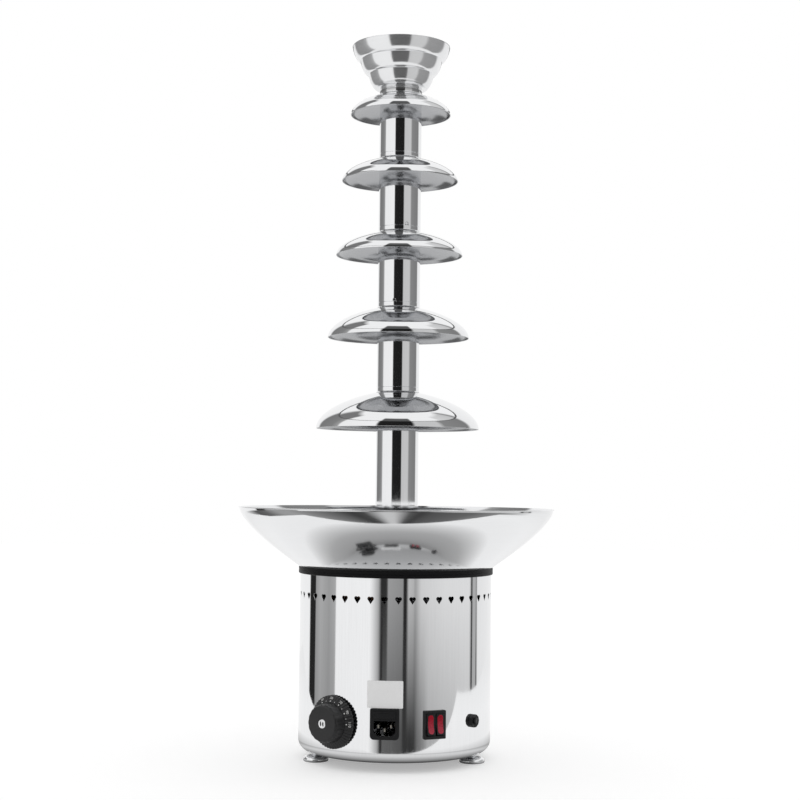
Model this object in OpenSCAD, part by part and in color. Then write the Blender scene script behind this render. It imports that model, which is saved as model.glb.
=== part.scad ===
// Chocolate fountain: a heated bowl on a drum, with a lift-off cascade tower round an auger.
// The tower axis is Z, the controls face -Y and the feet stand on the plane z = 0.

/* [Drum] */
// Outer radius of the drum
drum_r = 111.8; // [109:0.1:114]
// Height of the drum from its floor to the gasket
drum_h = 203.5; // [198:0.5:210]
// Sheet thickness of the drum
drum_wall = 1.2; // [0.8:0.1:1.5]
// Radius of the rounded lower edge
drum_edge_r = 12; // [8:0.5:13]
// Radius of the service opening in the drum floor
opening_r = 70; // [67:0.5:72]
// Width of the ring where the bottom cover laps the drum floor
cover_lap = 8; // [7:0.5:9]
// Sheet thickness of the bottom cover
cover_wall = 1.2; // [0.8:0.1:2]
// Number of heart-shaped vents
vent_count = 45; // [41:1:47]
// Width of one vent
vent_w = 7.5; // [5:0.1:9]
// Height of one vent
vent_h = 8.2; // [7:0.1:10]
// Distance of the vent row below the gasket
vent_drop = 24.3; // [18:0.1:32]

/* [Feet] */
// Height of the drum floor above the table
foot_h = 11; // [10:0.5:16]
// Radius of a foot's disc
foot_r = 14.5; // [12:0.5:17]
// Angle of the two side feet from the front
foot_side_angle = 74; // [70:1:78]
// Radius of a foot's stud
foot_stud_r = 3.9; // [3:0.1:4.5]

/* [Bowl] */
// Outer radius of the bowl's lip
bowl_r = 185; // [180:0.5:190]
// Width of the turned-out lip
lip_w = 1.5; // [1:0.1:4]
// Thickness of the lip
lip_t = 1.2; // [0.8:0.1:2]
// Sheet thickness of the bowl
bowl_wall = 1.2; // [0.8:0.1:2]
// Straight share of the bowl's depth
bowl_cone = 98.5; // [94:0.5:103]
// Rounded share of the bowl's depth
bowl_round = 38; // [34:0.5:42]
// Radius of the bowl's flat floor
bowl_floor_r = 62; // [60:0.5:64]
// Height of the gasket under the bowl
gasket_h = 8; // [6.5:0.5:10]
// How far the gasket stands out from the drum
gasket_proud = 1.9; // [1:0.1:3]

/* [Tower] */
// Outer radius of the tower tubes
tube_r = 25; // [24:0.1:26]
// Wall thickness of the tower tubes
tube_wall = 1.2; // [1:0.1:1.5]
// Length of the spigot that the next section stands on
spigot_h = 12; // [8:0.5:16]
// Wall thickness of the spigot
spigot_wall = 1; // [0.8:0.1:1.4]
// Height of the collar that each tube shows above its dome
collar_h = 6; // [5:0.5:9]
// Length of the lowest tube, from the bowl floor to its seam
tube_5_l = 242.5; // [225:0.5:260]
// Length of the fourth tube
tube_4_l = 100; // [90:0.5:110]
// Length of the third tube
tube_3_l = 90; // [80:0.5:100]
// Length of the second tube
tube_2_l = 87.5; // [78:0.5:96]
// Length of the top tube
tube_1_l = 76.5; // [68:0.5:86]
// Rim radius of the top dome
dome_1_r = 59.5; // [50:0.5:66]
// Rim radius of the second dome
dome_2_r = 69; // [60:0.5:76]
// Rim radius of the third dome
dome_3_r = 75; // [66:0.5:82]
// Rim radius of the fourth dome
dome_4_r = 83.5; // [75:0.5:92]
// Rim radius of the lowest dome
dome_5_r = 96; // [88:0.5:106]
// Depth of the top dome
dome_1_h = 23; // [18:0.5:28]
// Depth of the second dome
dome_2_h = 26; // [20:0.5:32]
// Depth of the third dome
dome_3_h = 27.5; // [22:0.5:34]
// Depth of the fourth dome
dome_4_h = 35.5; // [28:0.5:42]
// Depth of the lowest dome
dome_5_h = 43; // [36:0.5:50]
// Sheet thickness of the domes
dome_wall = 1; // [0.8:0.1:1.5]
// Straight share of a dome's profile
dome_cone_share = 0.21; // [0:0.01:0.4]

/* [Crown] */
// Radius of the crown's rim
crown_r = 58.4; // [54:0.1:64]
// Height of one rounded step
crown_step_h = 17; // [14:0.5:20]
// Height of the straight neck under the steps
crown_neck_h = 2.5; // [2:0.5:6]
// Sheet thickness of the crown
crown_wall = 1; // [0.8:0.1:1.4]
// Straight share of a step's profile
crown_cone_share = 0.3; // [0:0.05:0.5]

/* [Auger] */
// Radius of the auger's shaft
auger_shaft_r = 8; // [7:0.1:9]
// Running gap between the flight and the narrowest bore of the tower
flight_gap = 1; // [0.6:0.1:2]
// Thickness of the flight
flight_t = 2.5; // [1.5:0.1:4]
// Rise of the flight in one turn
flight_pitch = 48; // [40:1:60]
// How far the auger's tip stands above the top seam
auger_over = 14; // [8:1:20]

/* [Drive] */
// Radius of the drive shaft
drive_r = 5; // [4.5:0.1:5.5]
// Radius of the cross pin that turns the auger
drive_pin_r = 2; // [1.5:0.1:2.2]
// Tooth module of the gear pair
gear_module = 1.25; // [1.2:0.01:1.3]
// Teeth of the output gear
gear_teeth = 48; // [46:1:50]
// Teeth of the pinion
pinion_teeth = 12; // [12:1:13]
// Face width of the gears
gear_w = 12; // [8:0.5:14]
// Radius of the motor case
motor_r = 24; // [21:0.5:24.5]
// Length of the motor case
motor_l = 62; // [50:1:70]
// Radius of the motor shaft
motor_shaft_r = 4; // [3:0.1:4.4]
// Height of the posts between the gear plate and the heater clamp
post_l = 52; // [48:0.5:56]
// Radius of the posts
post_r = 5; // [4:0.1:6]
// Thickness of the gear plate
gear_plate_t = 3; // [2:0.5:4]
// Radius of the tubular heater
heater_r = 4; // [3.5:0.1:4.5]
// Radius of the ring that the heater is bent to
heater_ring_r = 40; // [38:0.5:42]

/* [Controls] */
// Height of the row of controls above the table
panel_z = 54; // [50:0.5:58]
// Azimuth of the knob, from the front
knob_azimuth = -37; // [-40:0.5:-34]
// Azimuth of the mains inlet
inlet_azimuth = -5.4; // [-7:0.2:-3]
// Azimuth of the double switch
switch_azimuth = 23.3; // [22:0.1:26]
// Azimuth of the overload protector
breaker_azimuth = 51.5; // [48:0.5:56]
// Radius of the knob's skirt
skirt_r = 29.6; // [26:0.1:32]
// Radius of the knob's cap
cap_r = 21.8; // [18:0.1:24]
// How far the knob stands out from the drum
knob_l = 21; // [18:0.5:26]
// Width of the inlet's flange
inlet_w = 32.5; // [30:0.5:34]
// Height of the inlet's flange
inlet_h = 34; // [33:0.5:36]
// Width of the switch's flange
switch_w = 26.5; // [26:0.1:29]
// Height of the switch's flange
switch_h = 31.4; // [30:0.2:33]
// Radius of the overload protector's ring nut
nut_r = 7.5; // [7:0.1:9]
// Travel of the reset button
reset_travel = 2; // [1:0.1:2.4]
// Width of the rating plate
plate_w = 40; // [30:0.5:46]
// Height of the rating plate
plate_h = 30; // [24:0.5:34]

/* [Hidden] */
$fn = 64;

// Clearances: fixed joint, running shaft, sliding piece, and overshoot of a cut
fit = 0.05;
running = 0.05;
slip = 0.3;
hole_gap = 2;
eps = 0.5;
bend_swell = 1.3;

// Heights from the table to the bowl
drum_z = foot_h;
drum_floor = drum_z + drum_wall;
drum_top = drum_z + drum_h;
drum_in_r = drum_r - drum_wall;
gasket_r = drum_r + gasket_proud;
gasket_lap = 3.5;
gasket_in_r = drum_in_r - gasket_lap;
gasket_groove = 2;
gasket_seat = 0.15;
edge_steps = 8;
vent_start = 1.7;
vent_lobe_share = 0.29;
vent_cut = 7;
cover_screw_count = 4;
cover_screw_start = 45;
cover_screw_circle_r = opening_r + cover_lap / 2;
shelf_r = (opening_r + drum_r - drum_edge_r) / 2;
bowl_in_lip_r = bowl_r - lip_w;
function bowl_drop(r, wall_r) =
    bowl_cone * (1 - r / wall_r) + bowl_round * sqrt(1 - pow(r / wall_r, 2));
bowl_rim_z = drum_top + gasket_h + bowl_drop(gasket_r, bowl_in_lip_r);
bowl_top = bowl_rim_z + lip_t;
bowl_under = bowl_rim_z - bowl_drop(bowl_floor_r, bowl_in_lip_r);
bowl_floor = bowl_under + bowl_wall;
bowl_steps = 16;

// Feet on the flat ring of the drum floor
foot_nut_w = 3.2;
foot_nut_r = foot_stud_r + foot_nut_w;
foot_nut_h = 6;
foot_nut_gap = 0.2;
foot_circle_r = drum_r - drum_edge_r - foot_nut_r * cos(30) - foot_nut_gap;
foot_chamfer = 1;
foot_rim_h = 2.5;
foot_disc_share = 0.68;
foot_disc_h = foot_disc_share * foot_h;
foot_neck_w = 0.8;
foot_neck_r = foot_stud_r + foot_neck_w;
foot_stud_over = 12;
foot_steps = 5;

// Tower seams, from the lowest section up
tube_in_r = tube_r - tube_wall;
spigot_r = tube_in_r - slip;
spigot_in_r = spigot_r - spigot_wall;
spigot_root = 8;
tube_l = [tube_1_l, tube_2_l, tube_3_l, tube_4_l, tube_5_l];
dome_r = [dome_1_r, dome_2_r, dome_3_r, dome_4_r, dome_5_r];
dome_h = [dome_1_h, dome_2_h, dome_3_h, dome_4_h, dome_5_h];
function sum_from(list, i) = i >= len(list) ? 0 : list[i] + sum_from(list, i + 1);
function tube_foot(i) = bowl_floor + sum_from(tube_l, i + 1);
function seam(i) = bowl_floor + sum_from(tube_l, i);
pin_azimuth = [180, 140, 20, -12, -100];
pin_r = 1.7;
pin_lift = pin_r + slip;
bead_r = 1.6;
bead_h = 3;
dome_steps = 14;

// Foot of the tower
base_flange_r = 37;
base_flange_t = 2;
stud_circle_r = 31;
stud_r = 2.5;
stud_h = 6;
stud_count = 3;
intake_w = 20;
intake_h = 12;

// Crown
crown_steps = 3;
crown_foot_w = 4;
crown_step_w = (crown_r - tube_r - crown_foot_w) / crown_steps;
crown_foot = seam(0);
crown_arc = 8;

// Auger and its drive
hub_r = 15;
hub_over = 6;
hub_flange_r = 24;
hub_flange_t = 4;
hub_l = 30;
hub_top = bowl_floor + hub_over;
hub_gap = 1.5;
hub_bottom = bowl_under - hub_l;
bush_r = 8;
bush_l = 10;
seal_r = 10.5;
seal_h = hub_over;
auger_foot = hub_top + hub_gap;
auger_tip = seam(0) + auger_over;
auger_socket_l = 24;
flight_r = spigot_in_r - flight_gap;
flight_lift = 2;
flight_foot = auger_foot + flight_lift;
flight_head = seam(0) + spigot_h / 2;
flight_steps = 20;
drive_pin_rise = 8;
drive_pin_z = auger_foot + drive_pin_rise;
drive_pin_in = 0.5;
drive_pin_l = 2 * (auger_shaft_r - drive_pin_in);
drive_tip_gap = 1;
drive_top = auger_foot + auger_socket_l - drive_tip_gap;

// Heater, posts and gear plate under the bowl
heater_z = bowl_under - heater_r - fit;
heater_span = 300;
heater_end = (360 - heater_span) / 2;
heater_leg_l = 22;
heater_step = 1;
heater_leg_r = heater_r - heater_step;
clamp_t = 1.5;
clamp_top = heater_z - heater_r - fit;
clamp_r = 60;
clamp_gap = 6;
clamp_in_r = hub_flange_r + clamp_gap;
post_top = clamp_top - clamp_t;
post_circle_r = 54;
post_stud_r = 3;
post_angles = [30, 150, 270];
gear_plate_top = post_top - post_l;
gear_plate_z = gear_plate_top - gear_plate_t;
gear_plate_rim = 8;
gear_plate_r = post_circle_r + gear_plate_rim;
plate_boss_r = 11;
plate_boss_l = 8;
screw_r = 2.4;
screw_head_r = 4.5;
screw_head_h = 3.2;
screw_bite = 10;

// Gear pair
pressure_angle = 20;
backlash = 0.55;
gear_pitch_r = gear_module * gear_teeth / 2;
pinion_pitch_r = gear_module * pinion_teeth / 2;
gear_centre = gear_pitch_r + pinion_pitch_r;
gear_lift = 3;
gear_z = gear_plate_top + gear_lift;
dedendum = 1.25;
gear_hub_r = 9;
drive_foot_in = 1;
drive_foot = gear_plate_z - plate_boss_l + drive_foot_in;
box_wall = 2;
box_gap = 2.5;
box_top = gear_z + gear_w + box_gap;
motor_top = gear_plate_z;
motor_bore_l = 46;
motor_boss_r = 9;
motor_boss_l = 5;

// Controls, seen from the front: X right, Y up, Z out of the drum
wide_cut = 400;
hole_cut = 50;
function chord_drop(w) = drum_r - sqrt(pow(drum_in_r, 2) - pow(w / 2, 2)) + fit;
function outer_drop(w) = drum_r - sqrt(pow(drum_r, 2) - pow(w / 2, 2));
flange_t = 2.4;
spindle_r = 3;
spindle_hole_r = spindle_r + hole_gap / 2;
spindle_cover = 6;
stat_w = 34;
stat_h = 36;
stat_d = 22;
stat_corner = 3;
stat_face = -chord_drop(stat_w);
spindle_back = 14;
skirt_z = 1.5;
skirt_edge_t = 1.8;
skirt_t = 6.5;
grip_count = 48;
grip_r = 0.9;
cap_edge = 2.5;
cap_taper = 0.8;
disc_r = 5;
disc_t = 1;
inlet_rise = 1.2;
inlet_z = panel_z + inlet_rise;
inlet_corner = 3;
inlet_lap = 1.7;
inlet_hole_w = inlet_w - 2 * inlet_lap;
inlet_hole_h = inlet_h - 2 * inlet_lap;
inlet_d = 30;
socket_w = 24;
socket_h = 16.4;
socket_y = -4.6;
socket_d = 15;
socket_cut = 4;
blade_w = 2;
blade_h = 4;
blade_x = 7;
blade_y = 2;
blade_back = 3;
tab_l = 6;
drawer_w = 23;
drawer_h = 6;
drawer_y = 10;
drawer_d = 17;
drawer_lip = 0.6;
drawer_proud = 1.2;
fuse_r = 2.5;
fuse_l = 20;
fuse_z = -5;
switch_corner = 1.5;
switch_side_lap = 1.2;
switch_end_lap = 1.7;
switch_hole_w = switch_w - 2 * switch_side_lap;
switch_hole_h = switch_h - 2 * switch_end_lap;
switch_d = 22;
rocker_gap = 1.6;
rocker_slot_w = 9.8;
rocker_w = rocker_slot_w - 2 * slip;
rocker_l = 23;
rocker_end_gap = 0.7;
rocker_slot_l = rocker_l + 2 * rocker_end_gap;
rocker_slot_d = 13;
rocker_tilt = 7;
rocker_end = 3.4;
rocker_mid = 1.4;
rocker_pin_r = 1.2;
rocker_pin_l = 0.6;
rocker_pivot_z = -1.5;
rocker_root = 5;
neck_r = 5.8;
neck_l = 4.2;
breaker_w = 17;
breaker_h = 24;
breaker_d = 28;
breaker_face = -chord_drop(breaker_w);
nut_t = 4.6;
nut_sides = 10;
button_r = 3.6;
button_out = 7.2;
button_in = 8;
button_edge = 0.8;
plate_t = 0.35;
plate_gap = 0.3;
plate_z = inlet_z + inlet_h / 2 + plate_gap;

// Electrical pieces on the drum floor
block_size = [18, 44, 16];
block_angle = 10;
block_ways = 4;
block_pitch = 9.8;
block_hole_r = 2.6;
block_hole_l = 3;
can_r = 11;
can_l = 44;
can_angle = 160;
can_tab = [1, 6, 8];

// Capillary from the thermostat to its bulb under the bowl
line_r = 1;
line_rise = 30;
line_drop = 6;
line_lead = 8;
bulb_r = 3.5;
bulb_l = 44;
bulb_out = 10;
bulb_x = bowl_floor_r + bulb_out;

// Colours
polished = [0.82, 0.83, 0.84];
dull_steel = [0.62, 0.63, 0.65];
brass = [0.78, 0.62, 0.32];
black_plastic = [0.06, 0.06, 0.065];
red_plastic = [0.75, 0.06, 0.07];
pale_plastic = [0.85, 0.84, 0.8];
label_silver = [0.74, 0.74, 0.75];
copper = [0.75, 0.45, 0.28];

// Places a control on the drum's wall at an azimuth from the front
module at_panel(azimuth, z) {
    rotate([0, 0, azimuth]) translate([0, -drum_r, z]) rotate([90, 0, 0]) children();
}

// The drum's own round body, in a control's frame
module drum_space() {
    translate([0, 0, -drum_r]) rotate([90, 0, 0])
        cylinder(r = drum_r + fit, h = wide_cut, center = true);
}

// Repeats a piece round the axis
module around(angles, r) {
    for (a = angles) rotate([0, 0, a]) translate([r, 0, 0]) children();
}

function feet_angles() = [-90 - foot_side_angle, -90 + foot_side_angle, 90];
function even_angles(count, start) = [for (i = [0 : count - 1]) start + i * 360 / count];

// A plain bush
module bush(r_out, r_in, h) {
    difference() {
        cylinder(r = r_out, h = h);
        translate([0, 0, -eps]) cylinder(r = r_in, h = h + 2 * eps);
    }
}

// A pan-head screw whose head lies under z = 0 and whose shank points up
module screw(shank_l) {
    translate([0, 0, -screw_head_h]) cylinder(r = screw_head_r, h = screw_head_h);
    cylinder(r = screw_r, h = shank_l);
}

// A rectangle with round corners
module rounded(w, h, r) {
    square([w - 2 * r, h], center = true);
    square([w, h - 2 * r], center = true);
    for (x = [-1, 1], y = [-1, 1]) translate([x * (w / 2 - r), y * (h / 2 - r)]) circle(r = r);
}

// A round rod between two points, with a fuller ball where it bends
module rod(a, b, r) {
    d = b - a;
    l = norm(d);
    translate(a) rotate([0, acos(d[2] / l), atan2(d[1], d[0])]) cylinder(r = r, h = l);
    translate(b) sphere(r = bend_swell * r);
}

// Tower sections

function dome_shape(rho) = (1 - dome_cone_share) * sqrt(1 - rho * rho) + dome_cone_share * (1 - rho);
function dome_line(rim_r, h, z) = [
    for (i = [0 : dome_steps])
        let (start = asin((tube_r + fit) / rim_r),
             rho = sin(start + (90 - start) * i / dome_steps),
             top = dome_shape((tube_r + fit) / rim_r))
        [rim_r * rho, z + h * dome_shape(min(rho, 1)) / top]
];
function reversed(list) = [for (i = [len(list) - 1 : -1 : 0]) list[i]];

module dome(i) {
    rim_z = seam(i) - collar_h - dome_h[i];
    outer = dome_line(dome_r[i], dome_h[i], rim_z);
    inner = dome_line(dome_r[i] - dome_wall, dome_h[i] - dome_wall, rim_z);
    color(polished) rotate_extrude() polygon(concat(outer, reversed(inner)));
}

// A tower tube with its weld bead over the dome and its spigot for the next section
module tube_body(i) {
    foot = tube_foot(i);
    top = seam(i);
    bead_z = top - collar_h + fit;
    rotate_extrude() polygon([
        [tube_in_r, foot], [tube_r, foot],
        [tube_r, bead_z], [tube_r + bead_r, bead_z], [tube_r, bead_z + bead_h],
        [tube_r, top], [spigot_r, top],
        [spigot_r, top + spigot_h], [spigot_in_r, top + spigot_h],
        [spigot_in_r, top - spigot_root], [tube_in_r, top - spigot_root - spigot_wall]
    ]);
}

// Pin on a spigot, at the front azimuth given for that seam
module seam_pin(i, r, from_r, to_r, z) {
    rotate([0, 0, pin_azimuth[i] - 90]) translate([from_r, 0, z])
        rotate([0, 90, 0]) cylinder(r = r, h = to_r - from_r);
}

// Notch for the pin of the section below
module seam_notch(i) {
    z = seam(i) + pin_lift;
    seam_pin(i, pin_r + slip, spigot_r, tube_r + eps, z);
    rotate([0, 0, pin_azimuth[i] - 90])
        translate([spigot_r, -pin_r - slip, z - pin_lift - eps])
            cube([tube_r + eps - spigot_r, 2 * (pin_r + slip), pin_lift + eps]);
}

module tube(i) {
    last = len(tube_l) - 1;
    color(polished) difference() {
        union() {
            tube_body(i);
            if (i > 0) seam_pin(i, pin_r, spigot_in_r + spigot_wall / 2, tube_r, seam(i) + pin_lift);
            if (i == last) translate([0, 0, tube_foot(i)]) bush(base_flange_r, tube_in_r, base_flange_t);
        }
        if (i < last) seam_notch(i + 1);
        if (i == last) tower_foot_cuts();
    }
}

// Stud holes and chocolate intakes at the foot of the tower
module tower_foot_cuts() {
    around(even_angles(stud_count, 0), stud_circle_r)
        translate([0, 0, bowl_floor - eps]) cylinder(r = stud_r + slip, h = base_flange_t + 2 * eps);
    for (a = even_angles(stud_count, 180 / stud_count))
        rotate([0, 0, a]) translate([tube_in_r / 2, 0, bowl_floor + base_flange_t + eps]) {
            translate([0, -intake_w / 2, 0]) cube([tube_r, intake_w, intake_h]);
            translate([0, 0, intake_h]) rotate([0, 90, 0]) cylinder(d = intake_w, h = tube_r);
        }
}

module tube_1() tube(0);
module tube_2() tube(1);
module tube_3() tube(2);
module tube_4() tube(3);
module tube_5() tube(4);
module dome_1() dome(0);
module dome_2() dome(1);
module dome_3() dome(2);
module dome_4() dome(3);
module dome_5() dome(4);

// One rounded step of the crown, from its lower inner edge to its upper outer edge
function step_in(t) = (1 - crown_cone_share) * (1 - sqrt(1 - t * t)) + crown_cone_share * t;
function crown_line(top_r, width, top_z) = [
    for (s = [crown_steps - 1 : -1 : 0], i = [crown_arc : -1 : 0])
        let (t = sin(90 * i / crown_arc))
        [top_r - width * (s + step_in(t)), top_z - crown_step_h * (s + t)]
];

module crown() {
    top = crown_foot + crown_neck_h + crown_steps * crown_step_h;
    outer = crown_line(crown_r, crown_step_w, top);
    inner = crown_line(crown_r - crown_wall, crown_step_w, top + crown_wall);
    inner_open = [for (p = inner) [p[0], min(p[1], top)]];
    neck_z = crown_foot + crown_neck_h;
    color(polished) rotate_extrude() polygon(concat(
        [[tube_in_r, crown_foot], [tube_r, crown_foot], [tube_r, neck_z]],
        outer, reversed(inner_open),
        [[tube_in_r, neck_z + crown_wall]]
    ));
}

// Auger

module auger_shaft() {
    color(polished) difference() {
        translate([0, 0, auger_foot]) cylinder(r = auger_shaft_r, h = auger_tip - auger_foot);
        translate([0, 0, auger_foot - eps]) cylinder(r = drive_r + 2 * running, h = auger_socket_l + eps);
        translate([0, 0, (auger_foot - eps + drive_pin_z) / 2])
            cube([3 * auger_shaft_r, 2 * (drive_pin_r + slip), drive_pin_rise + eps], center = true);
        translate([0, 0, drive_pin_z]) rotate([0, 90, 0])
            cylinder(r = drive_pin_r + slip, h = 3 * auger_shaft_r, center = true);
    }
}

module auger_flight() {
    inner = auger_shaft_r / cos(180 / flight_steps) + fit;
    rise = flight_head - flight_foot - flight_t;
    steps = round(flight_steps * rise / flight_pitch);
    corners = [[inner, 0], [flight_r, 0], [flight_r, flight_t], [inner, flight_t]];
    points = [
        for (i = [0 : steps], c = corners)
            let (a = 360 * i / flight_steps)
            [c[0] * cos(a), c[0] * sin(a), flight_foot + rise * i / steps + c[1]]
    ];
    sides = [
        for (i = [0 : steps - 1], j = [0 : 3], half = [0, 1])
            let (a = 4 * i + j, b = 4 * i + (j + 1) % 4)
            half == 0 ? [a, b, b + 4] : [a, b + 4, a + 4]
    ];
    last = 4 * steps;
    caps = [[2, 1, 0], [3, 2, 0], [last, last + 1, last + 2], [last, last + 2, last + 3]];
    color(polished) polyhedron(points, concat(sides, caps));
}

// Bowl, gasket, drum and feet

// Radii along the bowl's wall, from its floor to its rim
function bowl_radii(wall_r) = [
    for (i = [0 : bowl_steps])
        let (start = asin(bowl_floor_r / wall_r))
        min(wall_r, wall_r * sin(start + (90 - start) * i / bowl_steps))
];

module bowl() {
    in_r = bowl_in_lip_r - bowl_wall;
    share = (bowl_top - bowl_floor) / bowl_drop(bowl_floor_r, in_r);
    outer = [for (r = bowl_radii(bowl_in_lip_r)) [r, bowl_rim_z - bowl_drop(r, bowl_in_lip_r)]];
    inner = [for (r = bowl_radii(in_r)) [r, bowl_top - share * bowl_drop(r, in_r)]];
    color(polished) {
        rotate_extrude() polygon(concat(
            [[hub_r + fit, bowl_under]], outer,
            [[bowl_r, bowl_rim_z], [bowl_r, bowl_top]],
            reversed(inner), [[hub_r + fit, bowl_floor]]
        ));
        around(even_angles(stud_count, 0), stud_circle_r)
            translate([0, 0, bowl_floor]) cylinder(r = stud_r, h = stud_h);
    }
}

module bowl_gasket() {
    inner_top = bowl_rim_z - bowl_drop(gasket_in_r, bowl_in_lip_r) - gasket_seat;
    color(black_plastic) rotate_extrude() polygon([
        [gasket_r, drum_top], [gasket_r, drum_top + gasket_h - gasket_seat],
        [gasket_in_r, inner_top], [gasket_in_r, drum_top],
        [drum_in_r - fit, drum_top], [drum_in_r - fit, drum_top + gasket_groove],
        [drum_r + fit, drum_top + gasket_groove], [drum_r + fit, drum_top]
    ]);
}

// Heart outline with its point down, centred on its height
module heart(w, h) {
    lobe_r = vent_lobe_share * w;
    lobe_x = w / 2 - lobe_r;
    tip = h - lobe_r;
    from = atan2(-tip, -lobe_x) + acos(lobe_r / norm([lobe_x, tip]));
    to = 180 - acos(lobe_x / lobe_r);
    steps = 6;
    right = [
        for (i = [0 : steps])
            let (a = from + (to - from) * i / steps)
            [lobe_x + lobe_r * cos(a), lobe_r * sin(a)]
    ];
    left = [for (i = [steps - 1 : -1 : 0]) [-right[i][0], right[i][1]]];
    translate([0, h / 2 - lobe_r]) polygon(concat([[0, -tip]], right, left));
}

module drum_wall_cuts() {
    vent_z = drum_top - vent_drop;
    for (a = even_angles(vent_count, vent_start)) at_panel(a, vent_z)
        translate([0, 0, -vent_cut / 2]) linear_extrude(vent_cut) heart(vent_w, vent_h);
    at_panel(inlet_azimuth, inlet_z)
        cube([inlet_hole_w + slip, inlet_hole_h + slip, hole_cut], center = true);
    at_panel(switch_azimuth, panel_z)
        cube([switch_hole_w + slip, switch_hole_h + slip, hole_cut], center = true);
    at_panel(knob_azimuth, panel_z) cylinder(r = spindle_hole_r, h = hole_cut, center = true);
    at_panel(breaker_azimuth, panel_z) cylinder(r = neck_r + slip, h = hole_cut, center = true);
}

module drum_shell() {
    turn = [for (i = [0 : edge_steps]) 90 * i / edge_steps];
    edge_r = drum_r - drum_edge_r;
    in_edge = drum_edge_r - drum_wall;
    outer = [for (a = turn) [edge_r + drum_edge_r * sin(a), drum_z + drum_edge_r * (1 - cos(a))]];
    inner = [for (a = turn) [edge_r + in_edge * sin(a), drum_floor + in_edge * (1 - cos(a))]];
    top = drum_top + gasket_groove - fit;
    color(polished) difference() {
        rotate_extrude() polygon(concat(
            [[opening_r, drum_z]], outer, [[drum_r, top], [drum_in_r, top]],
            reversed(inner), [[opening_r, drum_floor]]
        ));
        drum_wall_cuts();
        around(feet_angles(), foot_circle_r)
            translate([0, 0, drum_z - eps]) cylinder(r = foot_stud_r + fit, h = drum_wall + 2 * eps);
        around(cover_screw_angles(), cover_screw_circle_r)
            translate([0, 0, drum_z - eps]) cylinder(r = screw_r + fit, h = drum_wall + 2 * eps);
    }
}

function cover_screw_angles() = even_angles(cover_screw_count, cover_screw_start);

module bottom_cover() {
    color(dull_steel) difference() {
        translate([0, 0, drum_z - cover_wall]) cylinder(r = opening_r + cover_lap, h = cover_wall);
        around(cover_screw_angles(), cover_screw_circle_r)
            translate([0, 0, drum_z - cover_wall - eps])
                cylinder(r = screw_r + fit, h = cover_wall + 2 * eps);
    }
}

module cover_screws() {
    color(dull_steel) around(cover_screw_angles(), cover_screw_circle_r)
        translate([0, 0, drum_z - cover_wall]) screw(cover_wall + drum_wall + screw_head_h);
}

module feet() {
    stud_top = drum_floor + foot_stud_over;
    cap = [
        for (i = [0 : foot_steps])
            let (a = 90 * i / foot_steps)
            [
                foot_neck_r + (foot_r - foot_neck_r) * cos(a),
                foot_rim_h + (foot_disc_h - foot_rim_h) * sin(a)
            ]
    ];
    color(polished) around(feet_angles(), foot_circle_r) rotate_extrude() polygon(concat(
        [[0, 0], [foot_r - foot_chamfer, 0], [foot_r, foot_chamfer]], cap,
        [[foot_neck_r, drum_z], [foot_stud_r, drum_z], [foot_stud_r, stud_top], [0, stud_top]]
    ));
}

module foot_nuts() {
    color(dull_steel) around(feet_angles(), foot_circle_r) translate([0, 0, drum_floor]) difference() {
        rotate([0, 0, 30]) cylinder(r = foot_nut_r, h = foot_nut_h, $fn = 6);
        translate([0, 0, -eps]) cylinder(r = foot_stud_r + fit, h = foot_nut_h + 2 * eps);
    }
}

// Drive under the bowl

module bearing_hub() {
    seat = seal_r + fit;
    bore = bush_r + fit;
    color(dull_steel) rotate_extrude() polygon([
        [bore, hub_bottom], [hub_r, hub_bottom],
        [hub_r, bowl_under - hub_flange_t], [hub_flange_r, bowl_under - hub_flange_t],
        [hub_flange_r, bowl_under], [hub_r, bowl_under], [hub_r, hub_top],
        [seat, hub_top], [seat, hub_top - seal_h], [bore, hub_top - seal_h]
    ]);
}

module shaft_bushes() {
    feet_z = [hub_top - seal_h - bush_l, hub_bottom, gear_plate_top - bush_l];
    color(brass) for (z = feet_z) translate([0, 0, z]) bush(bush_r, drive_r + running, bush_l);
}

module shaft_seal() {
    color(black_plastic) translate([0, 0, hub_top - seal_h]) bush(seal_r, drive_r + slip, seal_h);
}

module drive_shaft() {
    color(polished) difference() {
        translate([0, 0, drive_foot]) cylinder(r = drive_r, h = drive_top - drive_foot);
        translate([0, 0, drive_pin_z]) rotate([0, 90, 0])
            cylinder(r = drive_pin_r + fit, h = 4 * drive_r, center = true);
    }
}

module drive_pin() {
    color(dull_steel) translate([0, 0, drive_pin_z]) rotate([0, 90, 0])
        cylinder(r = drive_pin_r, h = drive_pin_l, center = true);
}

// Straight-flanked tooth outline of a gear, with a tooth centred on +X
function tooth_half(r, pitch_r) =
    (PI * gear_module / 4 - backlash / 2 - (r - pitch_r) * tan(pressure_angle)) / r * 180 / PI;
function gear_outline(teeth) =
    let (pitch_r = gear_module * teeth / 2,
         tip = pitch_r + gear_module,
         root = pitch_r - dedendum * gear_module)
    [
        for (i = [0 : teeth - 1], k = [[root, -1], [tip, -1], [tip, 1], [root, 1]])
            let (a = 360 * i / teeth + k[1] * tooth_half(k[0], pitch_r))
            [k[0] * cos(a), k[0] * sin(a)]
    ];

module output_gear() {
    color(brass) difference() {
        union() {
            translate([0, 0, gear_z]) rotate([0, 0, 90])
                linear_extrude(gear_w) polygon(gear_outline(gear_teeth));
            translate([0, 0, gear_plate_top + fit]) cylinder(r = gear_hub_r, h = gear_z - gear_plate_top);
        }
        translate([0, 0, gear_plate_top - eps])
            cylinder(r = drive_r + fit, h = gear_lift + gear_w + 2 * eps);
    }
}

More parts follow.
